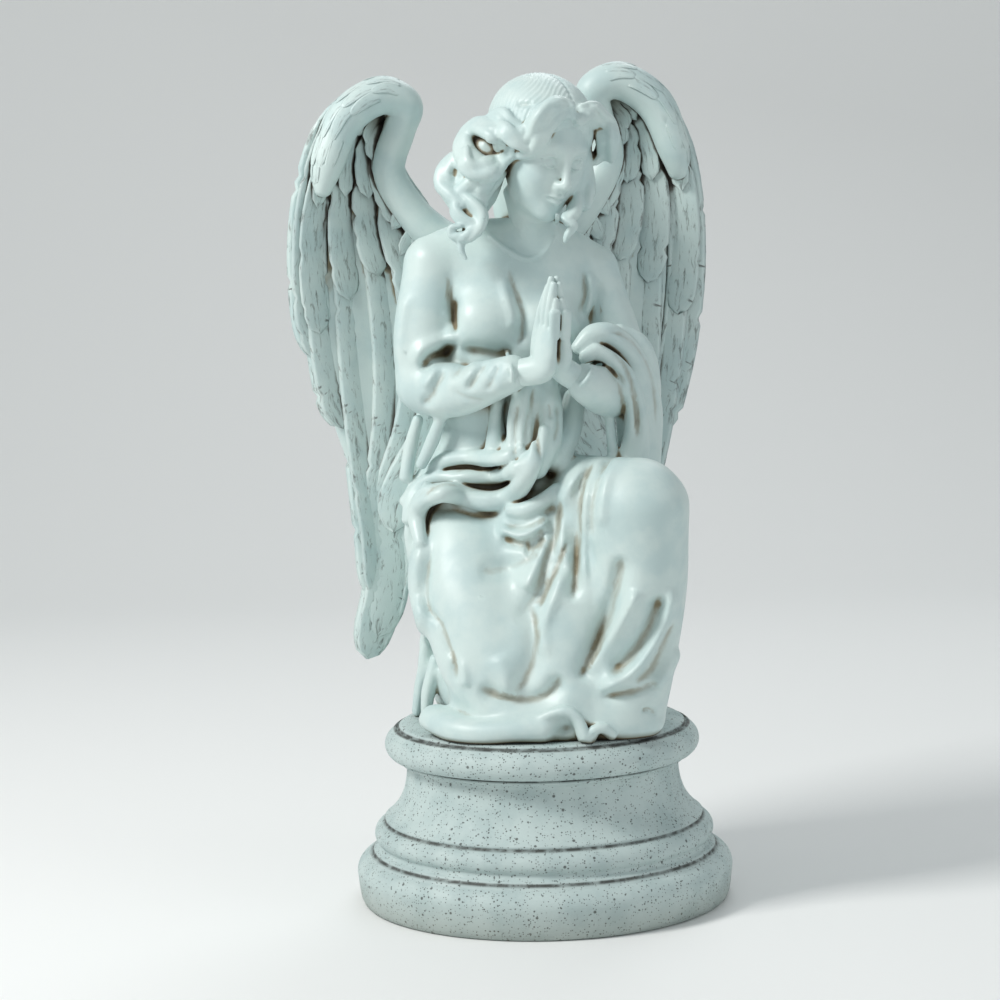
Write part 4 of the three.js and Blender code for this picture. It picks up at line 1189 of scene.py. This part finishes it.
# The tree's result on that mesh, as a plain mesh; values are given by the sockets' names
def applied(mesh, tree, values, name):
    o = bpy.data.objects.new(name, mesh)
    bpy.context.scene.collection.objects.link(o)
    nodes = o.modifiers.new("nodes", "NODES")
    nodes.node_group = tree
    for socket in tree.interface.items_tree:
        if socket.in_out == "INPUT" and socket.name in values:
            nodes[socket.identifier] = values[socket.name]
    result = bpy.data.meshes.new_from_object(o.evaluated_get(bpy.context.evaluated_depsgraph_get()))
    o.modifiers.clear()
    bpy.data.objects.remove(o)
    result.name = name
    return result


def quillMesh(quills, name):
    points, edges, faces, halves, at = [], [], [], [], 0
    for p, n, half in quills:
        points.append(p)
        faces.append(n)
        halves.append(half)
        edges += [(at + i, at + i + 1) for i in range(len(p) - 1)]
        at += len(p)
    made = bpy.data.meshes.new(name)
    made.from_pydata(np.vstack(points).tolist(), edges, [])
    made.attributes.new("face", "FLOAT_VECTOR", "POINT").data.foreach_set(
        "vector", np.vstack(faces).astype(np.float32).ravel()
    )
    made.attributes.new("half", "FLOAT", "POINT").data.foreach_set(
        "value", np.concatenate(halves).astype(np.float32)
    )
    return made


def sheetShell(side):  # the closed sheet that the feathers lie on
    rows, columns = 60, 12
    v, s = np.meshgrid(np.linspace(0.02, 0.965, rows), np.linspace(0.05, 0.93, columns), indexing="ij")
    p, n = wingSheet(s.ravel(), v.ravel(), side), wingNormal(s.ravel(), v.ravel(), side)
    edge = np.minimum(
        np.minimum(s - 0.05, 0.93 - s) / 0.1,
        np.minimum(v - 0.02, 0.965 - v) / 0.06
    ).clip(0, 1).ravel()[:, None]
    thick = wing["core"] / 2 * (0.15 + 0.85 * edge)
    points = np.vstack([p + n * thick, p - n * thick])
    size, faces = rows * columns, []
    for i in range(rows - 1):
        for j in range(columns - 1):
            a, b, c, d = i * columns + j, i * columns + j + 1, (i + 1) * columns + j + 1, (
                i + 1
            ) * columns + j
            faces += [(a, b, c, d), (size + d, size + c, size + b, size + a)]
    rim = [(0, j) for j in range(columns)] + [(i, columns - 1) for i in range(1, rows)]
    rim += [(rows - 1, j) for j in range(columns - 2, -1, -1)] + [(i, 0) for i in range(rows - 2, 0, -1)]
    ids = [i * columns + j for i, j in rim]
    for a, b in zip(ids, ids[1:] + ids[:1]):
        faces.append((b, a, size + a, size + b))
    made = makeMesh("sheet", points, faces)
    out = meshArrays(made)
    return out if volume(*out) > 0 else (out[0], out[1][:, ::-1])


featherTree = quillTree()
vane = {"Section points": 10, "Thickness": 0.12, "Shaft height": 0.3, "Barb depth": 0.1, "Barb spacing": 9.0}
wingParts, vaneParts = [], []
for side in (-1, 1):
    spread = placeOnWing(wing["arm"] + wing["root"], side)
    edgeClay = Clay(spread.min(0) - 24, spread.max(0) + 24, wing["step"])
    edgeClay.limb(placeOnWing(wing["arm"], side), wing["armHalf"], bodyBack, soft=4)
    edgeClay.limb(placeOnWing(wing["root"], side), wing["rootHalf"], bodyBack, soft=8)
    wingParts.append(edgeClay.mesh(wing["triangles"]))
    wingParts.append(sheetShell(side))
    for quills, more in (
        (featherQuills(side), {}),
        (scaleQuills(side), {"Section points": 8, "Thickness": 0.16, "Barb depth": 0.0})
    ):
        mesh = applied(quillMesh(quills, "quills"), featherTree, {**vane, **more}, "vanes")
        vaneParts.append(mesh)
        print("wing", side, len(quills), "feathers", len(mesh.polygons), "faces")

# One casting: everything above in one mesh, with how deep each place lies in the nooks kept on it


def readAttribute(mesh, name):
    values = np.zeros(len(mesh.vertices), np.float32)
    mesh.attributes[name].data.foreach_get("value", values)
    return values


def wholeFigure():  # every part's points and faces together, with what each point keeps for the finish
    clays = [(gown, gownMesh), (hair, headMesh), (palms, handMesh)] + [(None, part) for part in wingParts]
    parts = [(p, f, {"stain": clay.stained(p)} if clay else {}) for clay, (p, f) in clays]
    for mesh in vaneParts:
        p, f = meshArrays(mesh)
        values = {
            "across": readAttribute(mesh, "across"),
            "run": readAttribute(mesh, "run"),
            "vane": np.ones(len(p))
        }
        parts.append((p, f if volume(p, f) > 0 else f[:, ::-1], values))
    points, faces, kept, at = [], [], {"across": [], "run": [], "vane": [], "stain": []}, 0
    for p, f, values in parts:
        points.append(p)
        faces.append(f + at)
        at += len(p)
        for key, column in kept.items():
            column.append(values.get(key, np.zeros(len(p))))
    return np.vstack(points), np.vstack(faces), {key: np.concatenate(column) for key, column in kept.items()}


points, faces, kept = wholeFigure()
points[:, 2] = np.maximum(points[:, 2], bedLevel)
print("angel", len(faces), "triangles")

nookGrid = {
    "step": 1.5,
    # Cells to blur over, and how far out of the surface it is read
    "reaches": ((1, 1.0), (3, 2.5), (6, 6.0)),
}


def boxBlur(a, reach, passes=3):
    for _ in range(passes):
        for axis in range(3):
            pad = [(0, 0)] * 3
            pad[axis] = (reach + 1, reach)
            c = np.cumsum(np.pad(a, pad, mode="edge"), axis=axis, dtype=np.float32)
            first = [slice(None)] * 3
            last = [slice(None)] * 3
            first[axis], last[axis] = slice(0, -(2 * reach + 1)), slice(2 * reach + 1, None)
            a = (c[tuple(last)] - c[tuple(first)]) / (2 * reach + 1)
    return a


# Share of solid matter near each place: about a half on a flat, more in a nook
def nooks(points, faces, normals):
    step = nookGrid["step"]
    low = points.min(0) - 24
    size = np.ceil((points.max(0) + 24 - low) / step).astype(int)
    grid = openvdb.FloatGrid.createLevelSetFromPolygons(
        ((points - low) / step).astype(np.float32), triangles=faces.astype(np.uint32),
        transform=openvdb.createLinearTransform(1.0), halfWidth=2.0
    )
    solid = np.zeros(size, np.float32)
    grid.copyToArray(solid)
    solid = np.clip(0.5 - solid, 0, 1)
    below = int((bedLevel - low[2]) / step)
    solid[:, :, :max(below, 0)] = 1  # the plinth's top
    result = []
    for reach, out in nookGrid["reaches"]:
        soft = boxBlur(solid, reach)
        q = (points + normals * out - low) / step
        i = np.clip(q.astype(int), 0, size - 2)
        f = q - i
        value = 0
        for corner in range(8):
            o = [(corner >> k) & 1 for k in range(3)]
            weight = np.prod([f[:, k] if o[k] else 1 - f[:, k] for k in range(3)], axis=0)
            value = value + weight * soft[i[:, 0] + o[0], i[:, 1] + o[1], i[:, 2] + o[2]]
        result.append(value.astype(np.float32))
    return result


def figureMesh(name, points, faces, extra):
    made = makeMesh(name, points, faces)
    for key, values in extra.items():
        made.attributes.new(key, "FLOAT", "POINT").data.foreach_set("value", np.asarray(values, np.float32))
    made.polygons.foreach_set("use_smooth", np.ones(len(made.polygons), bool))
    return made


rough = makeMesh("rough", points, faces)
normals = np.zeros(len(points) * 3, np.float32)
rough.vertices.foreach_get("normal", normals)
normals = normals.reshape(-1, 3)
# The close and middle measures place the patina wash; the wide one only darkens the wide hollows as painted
# shade
close, middle, wide = nooks(points, faces, normals)
bpy.data.meshes.remove(rough)
# The wash was wiped off the face
calm = np.linalg.norm((points - head["centre"]) @ headTurn - (0, -36, -16), axis=1) < 24
close[calm] -= 0.07
middle[calm] -= 0.05
scaled = (points + [0, 0, deck]) * millimetre
angelMesh = figureMesh("angelCasting", scaled, faces, {
    "nookClose": close, "nookMiddle": middle, "nookWide": wide, **kept})
angel = bpy.data.objects.new("angel_casting", angelMesh)
bpy.context.scene.collection.objects.link(angel)
print("nooks", float(close.mean()), float(middle.mean()), float(wide.mean()))

# Plinth, turned from one profile by Geometry Nodes

plinth = {
    "sides": 256,
    "pitDepth": 0.0004,
    "pitSize": 160.0,
}


def bead(radius, height, size, start, end, count=14):
    return [
        (
            radius + size * math.cos(math.radians(a)),
            height + size * math.sin(math.radians(a))
        ) for a in np.linspace(start, end, count)
    ]


def plinthProfile():
    t = np.linspace(0, 1, 22)[:, None]
    cove = (1 - t) ** 2 * np.array([116.6, 61.5]) + 2 * t * (1 - t) * np.array([99, 74]) + t * t * np.array(
        [99.5, 100.5]
    )
    p = [(0, 0), (60, 0), (131.5, 0), (133.8, 1.2), (135.4, 5), (136.4, 11)]
    p += bead(125.6, 23, 12, -8, 74, 16)
    p += [(128.6, 35.8), (126.6, 36.4), (125.6, 37.8), (124.8, 39.2)]  # the groove over the lowest moulding
    p += [(123.2, 39.8), (121.8, 40.6)]
    p += bead(116.0, 50, 8.2, -52, 62, 12)
    p += [(118.2, 58.2), (116.8, 58.7), (116.1, 59.7), (116.3, 60.8)]
    p += [tuple(q) for q in cove]
    p += [(101.6, 101.6), (103.6, 102.2), (104.2, 103.6), (103.4, 104.8), (102.8, 105.6), (103.6, 106.4)]
    p += bead(104.6, 115.6, 10.4, -60, 60, 18)
    p += [
        (108.9, 126.0), (107.6, 127.2), (106.7, 127.6), (106.2, 126.9), (105.6, 126.6), (105.0, 127.3),
        (104.3, 128.8), (102.8, 129.8), (100.5, 130)
    ]
    p += [(r, 130) for r in np.linspace(92, 0, 12)]
    profile = np.array(p)
    profile[:, 1] *= deck / 130
    return profile


def latheTree():
    inputs = {
        "Profile": "Geometry",
        "Sides": "Int",
        "Rings": "Int",
        "Pit depth": "Float",
        "Pit size": "Float",
        "Finish": "Material",
    }
    tree, given = geometryTree("turnedPlinth", inputs, "Plinth")

    def maths(operation, a, b=0.0):
        return addNode(tree, "ShaderNodeMath", {0: a, 1: b}, operation=operation).outputs[0]

    rings, sides = given["Rings"], given["Sides"]
    grid = addNode(
        tree, "GeometryNodeMeshGrid",
        {"Size X": 1.0, "Size Y": 1.0, "Vertices X": rings, "Vertices Y": maths("ADD", sides, 1.0)}
    ).outputs["Mesh"]
    parts = addNode(
        tree, "ShaderNodeSeparateXYZ", {0: addNode(tree, "GeometryNodeInputPosition").outputs[0]}
    ).outputs
    ring = maths("ROUND", maths("MULTIPLY", maths("ADD", parts[0], 0.5), maths("SUBTRACT", rings, 1.0)))
    place = addNode(
        tree, "GeometryNodeSampleIndex",
        {
            "Geometry": given["Profile"],
            "Value": addNode(tree, "GeometryNodeInputPosition").outputs[0],
            "Index": ring
        },
        data_type="FLOAT_VECTOR", domain="POINT"
    ).outputs[0]
    out = addNode(tree, "ShaderNodeSeparateXYZ", {0: place}).outputs
    turn = maths("MULTIPLY", maths("ADD", parts[1], 0.5), 2 * math.pi)
    where = addNode(
        tree, "ShaderNodeCombineXYZ",
        {
            0: maths("MULTIPLY", out[0], maths("COSINE", turn)),
            1: maths("MULTIPLY", out[0], maths("SINE", turn)),
            2: out[2]
        }
    ).outputs[0]
    body = addNode(tree, "GeometryNodeSetPosition", {"Geometry": grid, "Position": where}).outputs["Geometry"]
    body = addNode(
        tree, "GeometryNodeMergeByDistance", {"Geometry": body, "Distance": 1e-5}
    ).outputs["Geometry"]
    noise = addNode(tree, "ShaderNodeTexNoise", {"Scale": given["Pit size"], "Detail": 2.0}).outputs["Fac"]
    height = maths("MULTIPLY", maths("SUBTRACT", noise, 0.5), given["Pit depth"])
    raised = maths(
        "GREATER_THAN",
        addNode(
            tree, "ShaderNodeSeparateXYZ", {0: addNode(tree, "GeometryNodeInputPosition").outputs[0]}
        ).outputs[2],
        0.0008
    )
    shift = addNode(
        tree, "ShaderNodeVectorMath",
        {
            0: addNode(tree, "GeometryNodeInputNormal").outputs[0],
            "Scale": maths("MULTIPLY", height, raised)
        },
        operation="SCALE"
    ).outputs[0]
    body = addNode(tree, "GeometryNodeSetPosition", {"Geometry": body, "Offset": shift}).outputs["Geometry"]
    body = addNode(tree, "GeometryNodeRealizeInstances", {"Geometry": body}).outputs["Geometry"]
    body = addNode(tree, "GeometryNodeSetShadeSmooth", {"Geometry": body}).outputs["Geometry"]
    body = addNode(
        tree, "GeometryNodeSetMaterial", {"Geometry": body, "Material": given["Finish"]}
    ).outputs["Geometry"]
    tree.links.new(body, addNode(tree, "NodeGroupOutput").inputs[0])
    return tree


profile = plinthProfile() * millimetre
line = bpy.data.meshes.new("profile")
line.from_pydata([(r, 0, z) for r, z in profile], [(i, i + 1) for i in range(len(profile) - 1)], [])
turnedMesh = applied(
    line, latheTree(),
    {
        "Sides": plinth["sides"],
        "Rings": len(profile),
        "Pit depth": plinth["pitDepth"],
        "Pit size": plinth["pitSize"]
    },
    "plinthCasting"
)
if volume(*meshArrays(turnedMesh)) < 0:
    turnedMesh.flip_normals()
base = bpy.data.objects.new("plinth_casting", turnedMesh)
bpy.context.scene.collection.objects.link(base)
print("plinth", len(turnedMesh.polygons), "faces")

# Finishes


def colour(r, g, b):  # from 0 to 255 as seen on a screen
    def linear(c):
        c /= 255
        return c / 12.92 if c <= 0.04045 else ((c + 0.055) / 1.055) ** 2.4

    return (linear(r), linear(g), linear(b), 1)


def shaderGroup(name, inputs, outputs):
    group = bpy.data.node_groups.new(name, "ShaderNodeTree")
    for key, kind in inputs.items():
        group.interface.new_socket(key, in_out="INPUT", socket_type=kind)
    for key, kind in outputs.items():
        group.interface.new_socket(key, in_out="OUTPUT", socket_type=kind)
    return group, addNode(group, "NodeGroupInput").outputs, addNode(group, "NodeGroupOutput").inputs


def mathsIn(tree):
    def maths(operation, a, b=0.0, c=0.0, clamp=False):
        return addNode(
            tree, "ShaderNodeMath", {0: a, 1: b, 2: c}, operation=operation, use_clamp=clamp
        ).outputs[0]

    return maths


def mixIn(tree):
    def mix(share, a, b, how="MIX"):
        return addNode(
            tree, "ShaderNodeMix", {0: share, 6: a, 7: b}, data_type="RGBA", blend_type=how
        ).outputs[2]

    return mix


def rangeIn(tree):
    def ranged(value, low, high, to0=0.0, to1=1.0):
        return addNode(
            tree, "ShaderNodeMapRange",
            {"Value": value, "From Min": low, "From Max": high, "To Min": to0, "To Max": to1},
            interpolation_type="SMOOTHSTEP"
        ).outputs[0]

    return ranged


def patinaGroup():  # brown wash that stays in the nooks, broken up as a wiped wash is
    f, c = "NodeSocketFloat", "NodeSocketColor"
    group, given, out = shaderGroup(
        "wipedPatina",
        {"Close": f, "Wide": f, "Start": f, "Amount": f, "Clean": c, "Wash": c, "Deep": c, "Seed": f},
        {"Colour": c, "Mask": f}
    )
    maths, mix, ranged = mathsIn(group), mixIn(group), rangeIn(group)
    where = addNode(group, "ShaderNodeTexCoord").outputs["Object"]
    where = addNode(
        group, "ShaderNodeMapping",
        {"Vector": where, "Location": addNode(group, "ShaderNodeCombineXYZ", {0: given["Seed"]}).outputs[0]}
    ).outputs[0]
    broad = addNode(
        group, "ShaderNodeTexNoise", {"Vector": where, "Scale": 26.0, "Detail": 5.0, "Roughness": 0.62}
    ).outputs["Fac"]
    specks = addNode(
        group, "ShaderNodeTexNoise", {"Vector": where, "Scale": 190.0, "Detail": 4.0, "Roughness": 0.7}
    ).outputs["Fac"]
    broken = maths(
        "ADD", maths("MULTIPLY", maths("SUBTRACT", broad, 0.5), 0.09),
        maths("MULTIPLY", maths("SUBTRACT", specks, 0.5), 0.05)
    )
    depth = maths(
        "ADD",
        maths("ADD", maths("MULTIPLY", given["Close"], 0.55), maths("MULTIPLY", given["Wide"], 0.45)),
        broken
    )
    light = maths(
        "MULTIPLY", ranged(depth, given["Start"], maths("ADD", given["Start"], 0.10)), given["Amount"]
    )
    dark = maths(
        "MULTIPLY", ranged(depth, maths("ADD", given["Start"], 0.07), maths("ADD", given["Start"], 0.19)),
        given["Amount"]
    )
    washed = mix(light, given["Clean"], given["Wash"])
    group.links.new(mix(dark, washed, given["Deep"]), out["Colour"])
    group.links.new(light, out["Mask"])
    return group


def grainGroup():  # the fine tooth and slow unevenness of a cast surface
    f = "NodeSocketFloat"
    group, given, out = shaderGroup("castGrain", {"Grain": f, "Unevenness": f}, {"Height": f, "Mottle": f})
    maths = mathsIn(group)
    where = addNode(group, "ShaderNodeTexCoord").outputs["Object"]
    tooth = addNode(
        group, "ShaderNodeTexNoise",
        {"Vector": where, "Scale": given["Grain"], "Detail": 3.0, "Roughness": 0.6}
    ).outputs["Fac"]
    slow = addNode(
        group, "ShaderNodeTexNoise",
        {"Vector": where, "Scale": given["Unevenness"], "Detail": 4.0, "Roughness": 0.55}
    ).outputs["Fac"]
    group.links.new(maths("ADD", tooth, maths("MULTIPLY", slow, 1.5)), out["Height"])
    group.links.new(slow, out["Mottle"])
    return group


def newMaterial(name):
    made = bpy.data.materials.new(name)
    made.use_nodes = True
    made.node_tree.nodes.clear()
    shader = addNode(made.node_tree, "ShaderNodeBsdfPrincipled")
    made.node_tree.links.new(shader.outputs[0], addNode(made.node_tree, "ShaderNodeOutputMaterial").inputs[0])
    return made, made.node_tree, shader


patina, grain = patinaGroup(), grainGroup()
stone = {
    "clean": colour(206, 222, 219),
    "cool": colour(192, 212, 211),
    # A brown used for the wiped patina wash, and multiplied into the wide hollows as painted shade
    "brownTint": colour(140, 128, 100),
    "deep": colour(70, 58, 42),
    "vaneWash": colour(104, 104, 96),
    "vaneDeep": colour(54, 46, 38),
    "roughness": (0.36, 0.5),
    "grain": 900.0,
    "unevenness": 34.0,
    "streaks": (0.53, 0.72),  # where a feather's streaks and nicks begin and are full
    "nicks": (0.68, 0.76),
    "groove": 0.72,
    "starts": (0.5, 0.45),  # how deep in a nook the wash begins, on the body and on the feathers
    "foldWash": (0.12, 0.8, 0.0, 0.62),
    "foldDark": (0.7, 1.2, 0.0, 0.7),
    # Painted shade: from and to of the wide hollow measure, and how strongly the brown is multiplied in there
    # as shade
    "paintedShade": (0.47, 0.72, 0.0, 0.75),
}


def castMaterial():
    made, tree, shader = newMaterial("antiquedCasting")
    maths, mix, ranged = mathsIn(tree), mixIn(tree), rangeIn(tree)

    def kept(name):
        return addNode(
            tree, "ShaderNodeAttribute", attribute_name=name, attribute_type="GEOMETRY"
        ).outputs["Fac"]

    tooth = addNode(tree, "ShaderNodeGroup", node_tree=grain)
    tooth.inputs["Grain"].default_value = stone["grain"]
    tooth.inputs["Unevenness"].default_value = stone["unevenness"]
    vaneMask, across, run = kept("vane"), kept("across"), kept("run")
    body = mix(ranged(tooth.outputs["Mottle"], 0.38, 0.68), stone["clean"], stone["cool"])
    streakPlace = addNode(
        tree, "ShaderNodeCombineXYZ",
        {
            0: maths("MULTIPLY", across, 3.2),
            1: maths("MULTIPLY", run, 0.045),
            2: maths("MULTIPLY", run, 0.003)
        }
    ).outputs[0]
    streak = addNode(
        tree, "ShaderNodeTexNoise",
        {"Vector": streakPlace, "Scale": 1.6, "Detail": 5.0, "Roughness": 0.68, "Distortion": 0.6}
    ).outputs["Fac"]
    slashPlace = addNode(
        tree, "ShaderNodeCombineXYZ",
        {
            0: maths("MULTIPLY", across, 0.7),
            1: maths(
                "MULTIPLY", maths("SUBTRACT", run, maths("MULTIPLY", maths("ABSOLUTE", across), 5.0)), 0.16
            )
        }
    ).outputs[0]
    slash = addNode(
        tree, "ShaderNodeTexNoise", {"Vector": slashPlace, "Scale": 1.3, "Detail": 2.0, "Roughness": 0.5}
    ).outputs["Fac"]
    nick = maths("MULTIPLY", ranged(slash, *stone["nicks"]), ranged(maths("ABSOLUTE", across), 0.35, 0.7))
    groove = maths("MULTIPLY", maths("MAXIMUM", ranged(streak, *stone["streaks"]), nick), vaneMask)
    washed = []
    coats = ((0.95, stone["brownTint"], stone["deep"]), (1.0, stone["vaneWash"], stone["vaneDeep"]))
    for start, (amount, brownTint, deep) in zip(stone["starts"], coats):
        layer = addNode(tree, "ShaderNodeGroup", node_tree=patina)
        for key, value in {
            "Start": start,
            "Amount": amount,
            "Wash": brownTint,
            "Deep": deep,
            "Seed": start
        }.items():
            layer.inputs[key].default_value = value
        tree.links.new(kept("nookClose"), layer.inputs["Close"])
        tree.links.new(kept("nookMiddle"), layer.inputs["Wide"])
        tree.links.new(body, layer.inputs["Clean"])
        washed.append(layer)
    painted = mix(vaneMask, washed[0].outputs["Colour"], washed[1].outputs["Colour"])
    painted = mix(maths("MULTIPLY", groove, stone["groove"]), painted, stone["vaneDeep"])
    where = addNode(tree, "ShaderNodeTexCoord").outputs["Object"]
    patchy = addNode(
        tree, "ShaderNodeTexNoise", {"Vector": where, "Scale": 60.0, "Detail": 5.0, "Roughness": 0.6}
    ).outputs["Fac"]
    left = maths("MULTIPLY", kept("stain"), ranged(patchy, 0.2, 0.6, 0.72, 1.15))
    painted = mix(ranged(left, *stone["foldWash"]), painted, stone["brownTint"])
    painted = mix(ranged(left, *stone["foldDark"]), painted, stone["deep"])
    # Painted shade: the wide hollows are darkened by multiplying in the brown, standing in for the shade that
    # falls there
    painted = mix(ranged(kept("nookWide"), *stone["paintedShade"]), painted, stone["brownTint"], "MULTIPLY")
    tree.links.new(painted, shader.inputs["Base Color"])
    tree.links.new(
        maths(
            "ADD", ranged(tooth.outputs["Mottle"], 0.3, 0.75, *stone["roughness"]),
            maths("MULTIPLY", washed[0].outputs["Mask"], 0.22)
        ),
        shader.inputs["Roughness"]
    )
    height = maths(
        "SUBTRACT", maths("MULTIPLY", tooth.outputs["Height"], 0.25), maths("MULTIPLY", groove, 0.9)
    )
    bump = addNode(tree, "ShaderNodeBump", {"Strength": 0.5, "Distance": 0.0006, "Height": height})
    tree.links.new(bump.outputs[0], shader.inputs["Normal"])
    return made


speckle = {
    "ground": colour(190, 205, 203),
    "cool": colour(176, 193, 192),
    "fleck": colour(58, 60, 56),
    # The brown laid over the bottom of the plinth
    "brownTint": colour(120, 116, 98),
    "grain": 1100.0,
    "unevenness": 40.0,
    # Cells a metre, size in the cell, share
    "flecks": ((330.0, 0.26, 0.42), (620.0, 0.30, 0.45), (150.0, 0.20, 0.30)),
    "grooves": [0.1275, 0.1052, 0.0594, 0.0372],  # heights of the dark lines
}


def speckledMaterial():
    made, tree, shader = newMaterial("speckledCasting")
    maths, mix, ranged = mathsIn(tree), mixIn(tree), rangeIn(tree)
    where = addNode(tree, "ShaderNodeTexCoord").outputs["Object"]
    tooth = addNode(tree, "ShaderNodeGroup", node_tree=grain)
    tooth.inputs["Grain"].default_value = speckle["grain"]
    tooth.inputs["Unevenness"].default_value = speckle["unevenness"]
    body = mix(ranged(tooth.outputs["Mottle"], 0.36, 0.7), speckle["ground"], speckle["cool"])
    masks = []
    for scale, size, share in speckle["flecks"]:
        cell = addNode(tree, "ShaderNodeTexVoronoi", {"Vector": where, "Scale": scale, "Randomness": 1.0})
        pick = addNode(tree, "ShaderNodeSeparateColor", {0: cell.outputs["Color"]}).outputs[0]
        dot = maths("SUBTRACT", 1.0, ranged(cell.outputs["Distance"], size * 0.6, size))
        masks.append(maths("MULTIPLY", dot, maths("LESS_THAN", pick, share)))
    flecks = maths("MAXIMUM", maths("MAXIMUM", masks[0], masks[1]), masks[2])
    painted = mix(maths("MULTIPLY", flecks, 0.8), body, speckle["fleck"])
    height = addNode(tree, "ShaderNodeSeparateXYZ", {0: where}).outputs[2]
    ring = 0.0
    for level in speckle["grooves"]:
        off = maths("ABSOLUTE", maths("SUBTRACT", height, level))
        ring = maths("MAXIMUM", ring, maths("SUBTRACT", 1.0, ranged(off, 0.0004, 0.0016)))
    broken = addNode(
        tree, "ShaderNodeTexNoise", {"Vector": where, "Scale": 120.0, "Detail": 4.0}
    ).outputs["Fac"]
    painted = mix(maths("MULTIPLY", ring, ranged(broken, 0.3, 0.6, 0.45, 0.95)), painted, speckle["fleck"])
    # Darker and browner towards the bottom of the plinth
    low = ranged(height, 0.0, 0.03, 0.35, 0.0)
    painted = mix(low, painted, speckle["brownTint"])
    tree.links.new(painted, shader.inputs["Base Color"])
    tree.links.new(ranged(tooth.outputs["Mottle"], 0.3, 0.75, 0.55, 0.75), shader.inputs["Roughness"])
    pitted = maths(
        "SUBTRACT", maths("MULTIPLY", tooth.outputs["Height"], 0.35), maths("MULTIPLY", flecks, 0.8)
    )
    bump = addNode(tree, "ShaderNodeBump", {"Strength": 0.6, "Distance": 0.0006, "Height": pitted})
    tree.links.new(bump.outputs[0], shader.inputs["Normal"])
    return made


for piece, material in ((angel, castMaterial()), (base, speckledMaterial())):
    piece.data.materials.clear()
    piece.data.materials.append(material)
print("finishes")

# Studio: pale floor, soft light and the camera

studio = {
    "floor": colour(238, 239, 238),
    "world": 0.44,
    # The floor, bent up into the wall
    "sweep": {"front": -5.0, "back": 1.6, "bend": 1.2, "top": 5.0, "half": 7},
    "lamps": [  # place, size, power, colour
        ((-1.5, -0.85, 1.75), 0.6, 37, (1.0, 0.99, 0.97)),
        ((1.7, -0.9, 1.0), 1.2, 4.5, (0.92, 0.97, 1.0)),
        ((0.4, 1.5, 1.9), 1.0, 9, (0.95, 0.98, 1.0)),
    ],
}
sheet = studio["sweep"]
bend = [
    (sheet["back"] + sheet["bend"] * math.sin(a), sheet["bend"] - sheet["bend"] * math.cos(a))
    for a in np.linspace(0.1, math.pi / 2, 14)
]
sweep = [(sheet["front"], 0.0), (sheet["back"], 0.0)] + bend + [(sheet["back"] + sheet["bend"], sheet["top"])]
corners = [(x, y, z) for y, z in sweep for x in (-sheet["half"], sheet["half"])]
floorMesh = makeMesh(
    "floorSheet", corners, [(2 * i, 2 * i + 1, 2 * i + 3, 2 * i + 2) for i in range(len(sweep) - 1)]
)
floorMesh.polygons.foreach_set("use_smooth", np.ones(len(floorMesh.polygons), bool))
floor = bpy.data.objects.new("floor", floorMesh)
bpy.context.scene.collection.objects.link(floor)
floorMaterial, tree, shader = newMaterial("paleFloor")
shader.inputs["Base Color"].default_value = studio["floor"]
shader.inputs["Roughness"].default_value = 0.8
floorMesh.materials.append(floorMaterial)
world = bpy.data.worlds.new("softRoom")
bpy.context.scene.world = world
world.use_nodes = True
world.node_tree.nodes["Background"].inputs[0].default_value = (0.93, 0.98, 1.0, 1)
world.node_tree.nodes["Background"].inputs[1].default_value = studio["world"]
aim = Vector((0, 0, 0.33))
for place, size, power, tint in studio["lamps"]:
    lamp = bpy.data.lights.new("lamp", "AREA")
    lamp.energy, lamp.size, lamp.color = power, size, tint
    o = bpy.data.objects.new("lamp", lamp)
    o.location = place
    o.rotation_euler = (aim - Vector(place)).to_track_quat("-Z", "Y").to_euler()
    bpy.context.scene.collection.objects.link(o)

lens = {"place": (0, -1.8, 0.4625), "down": 0.0945, "aside": -0.0145, "roll": 1.5, "focal": 89.55}
camera = bpy.data.objects.new("camera", bpy.data.cameras.new("camera"))
bpy.context.scene.collection.objects.link(camera)
camera.data.lens, camera.data.sensor_width = lens["focal"], 36
down, aside, roll = lens["down"], lens["aside"], math.radians(lens["roll"])
ahead = Vector((math.sin(aside) * math.cos(down), math.cos(aside) * math.cos(down), -math.sin(down)))
right = Vector((math.cos(aside), -math.sin(aside), 0))
up = right.cross(ahead)
right, up = right * math.cos(roll) - up * math.sin(roll), up * math.cos(roll) + right * math.sin(roll)
camera.matrix_world = Matrix.Translation(lens["place"]) @ Matrix((right, up, -ahead)).transposed().to_4x4()
bpy.context.scene.camera = camera
bpy.context.scene.view_settings.view_transform = "Standard"

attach(angel, "root")
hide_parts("angel")
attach(base, "root")
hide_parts("plinth")
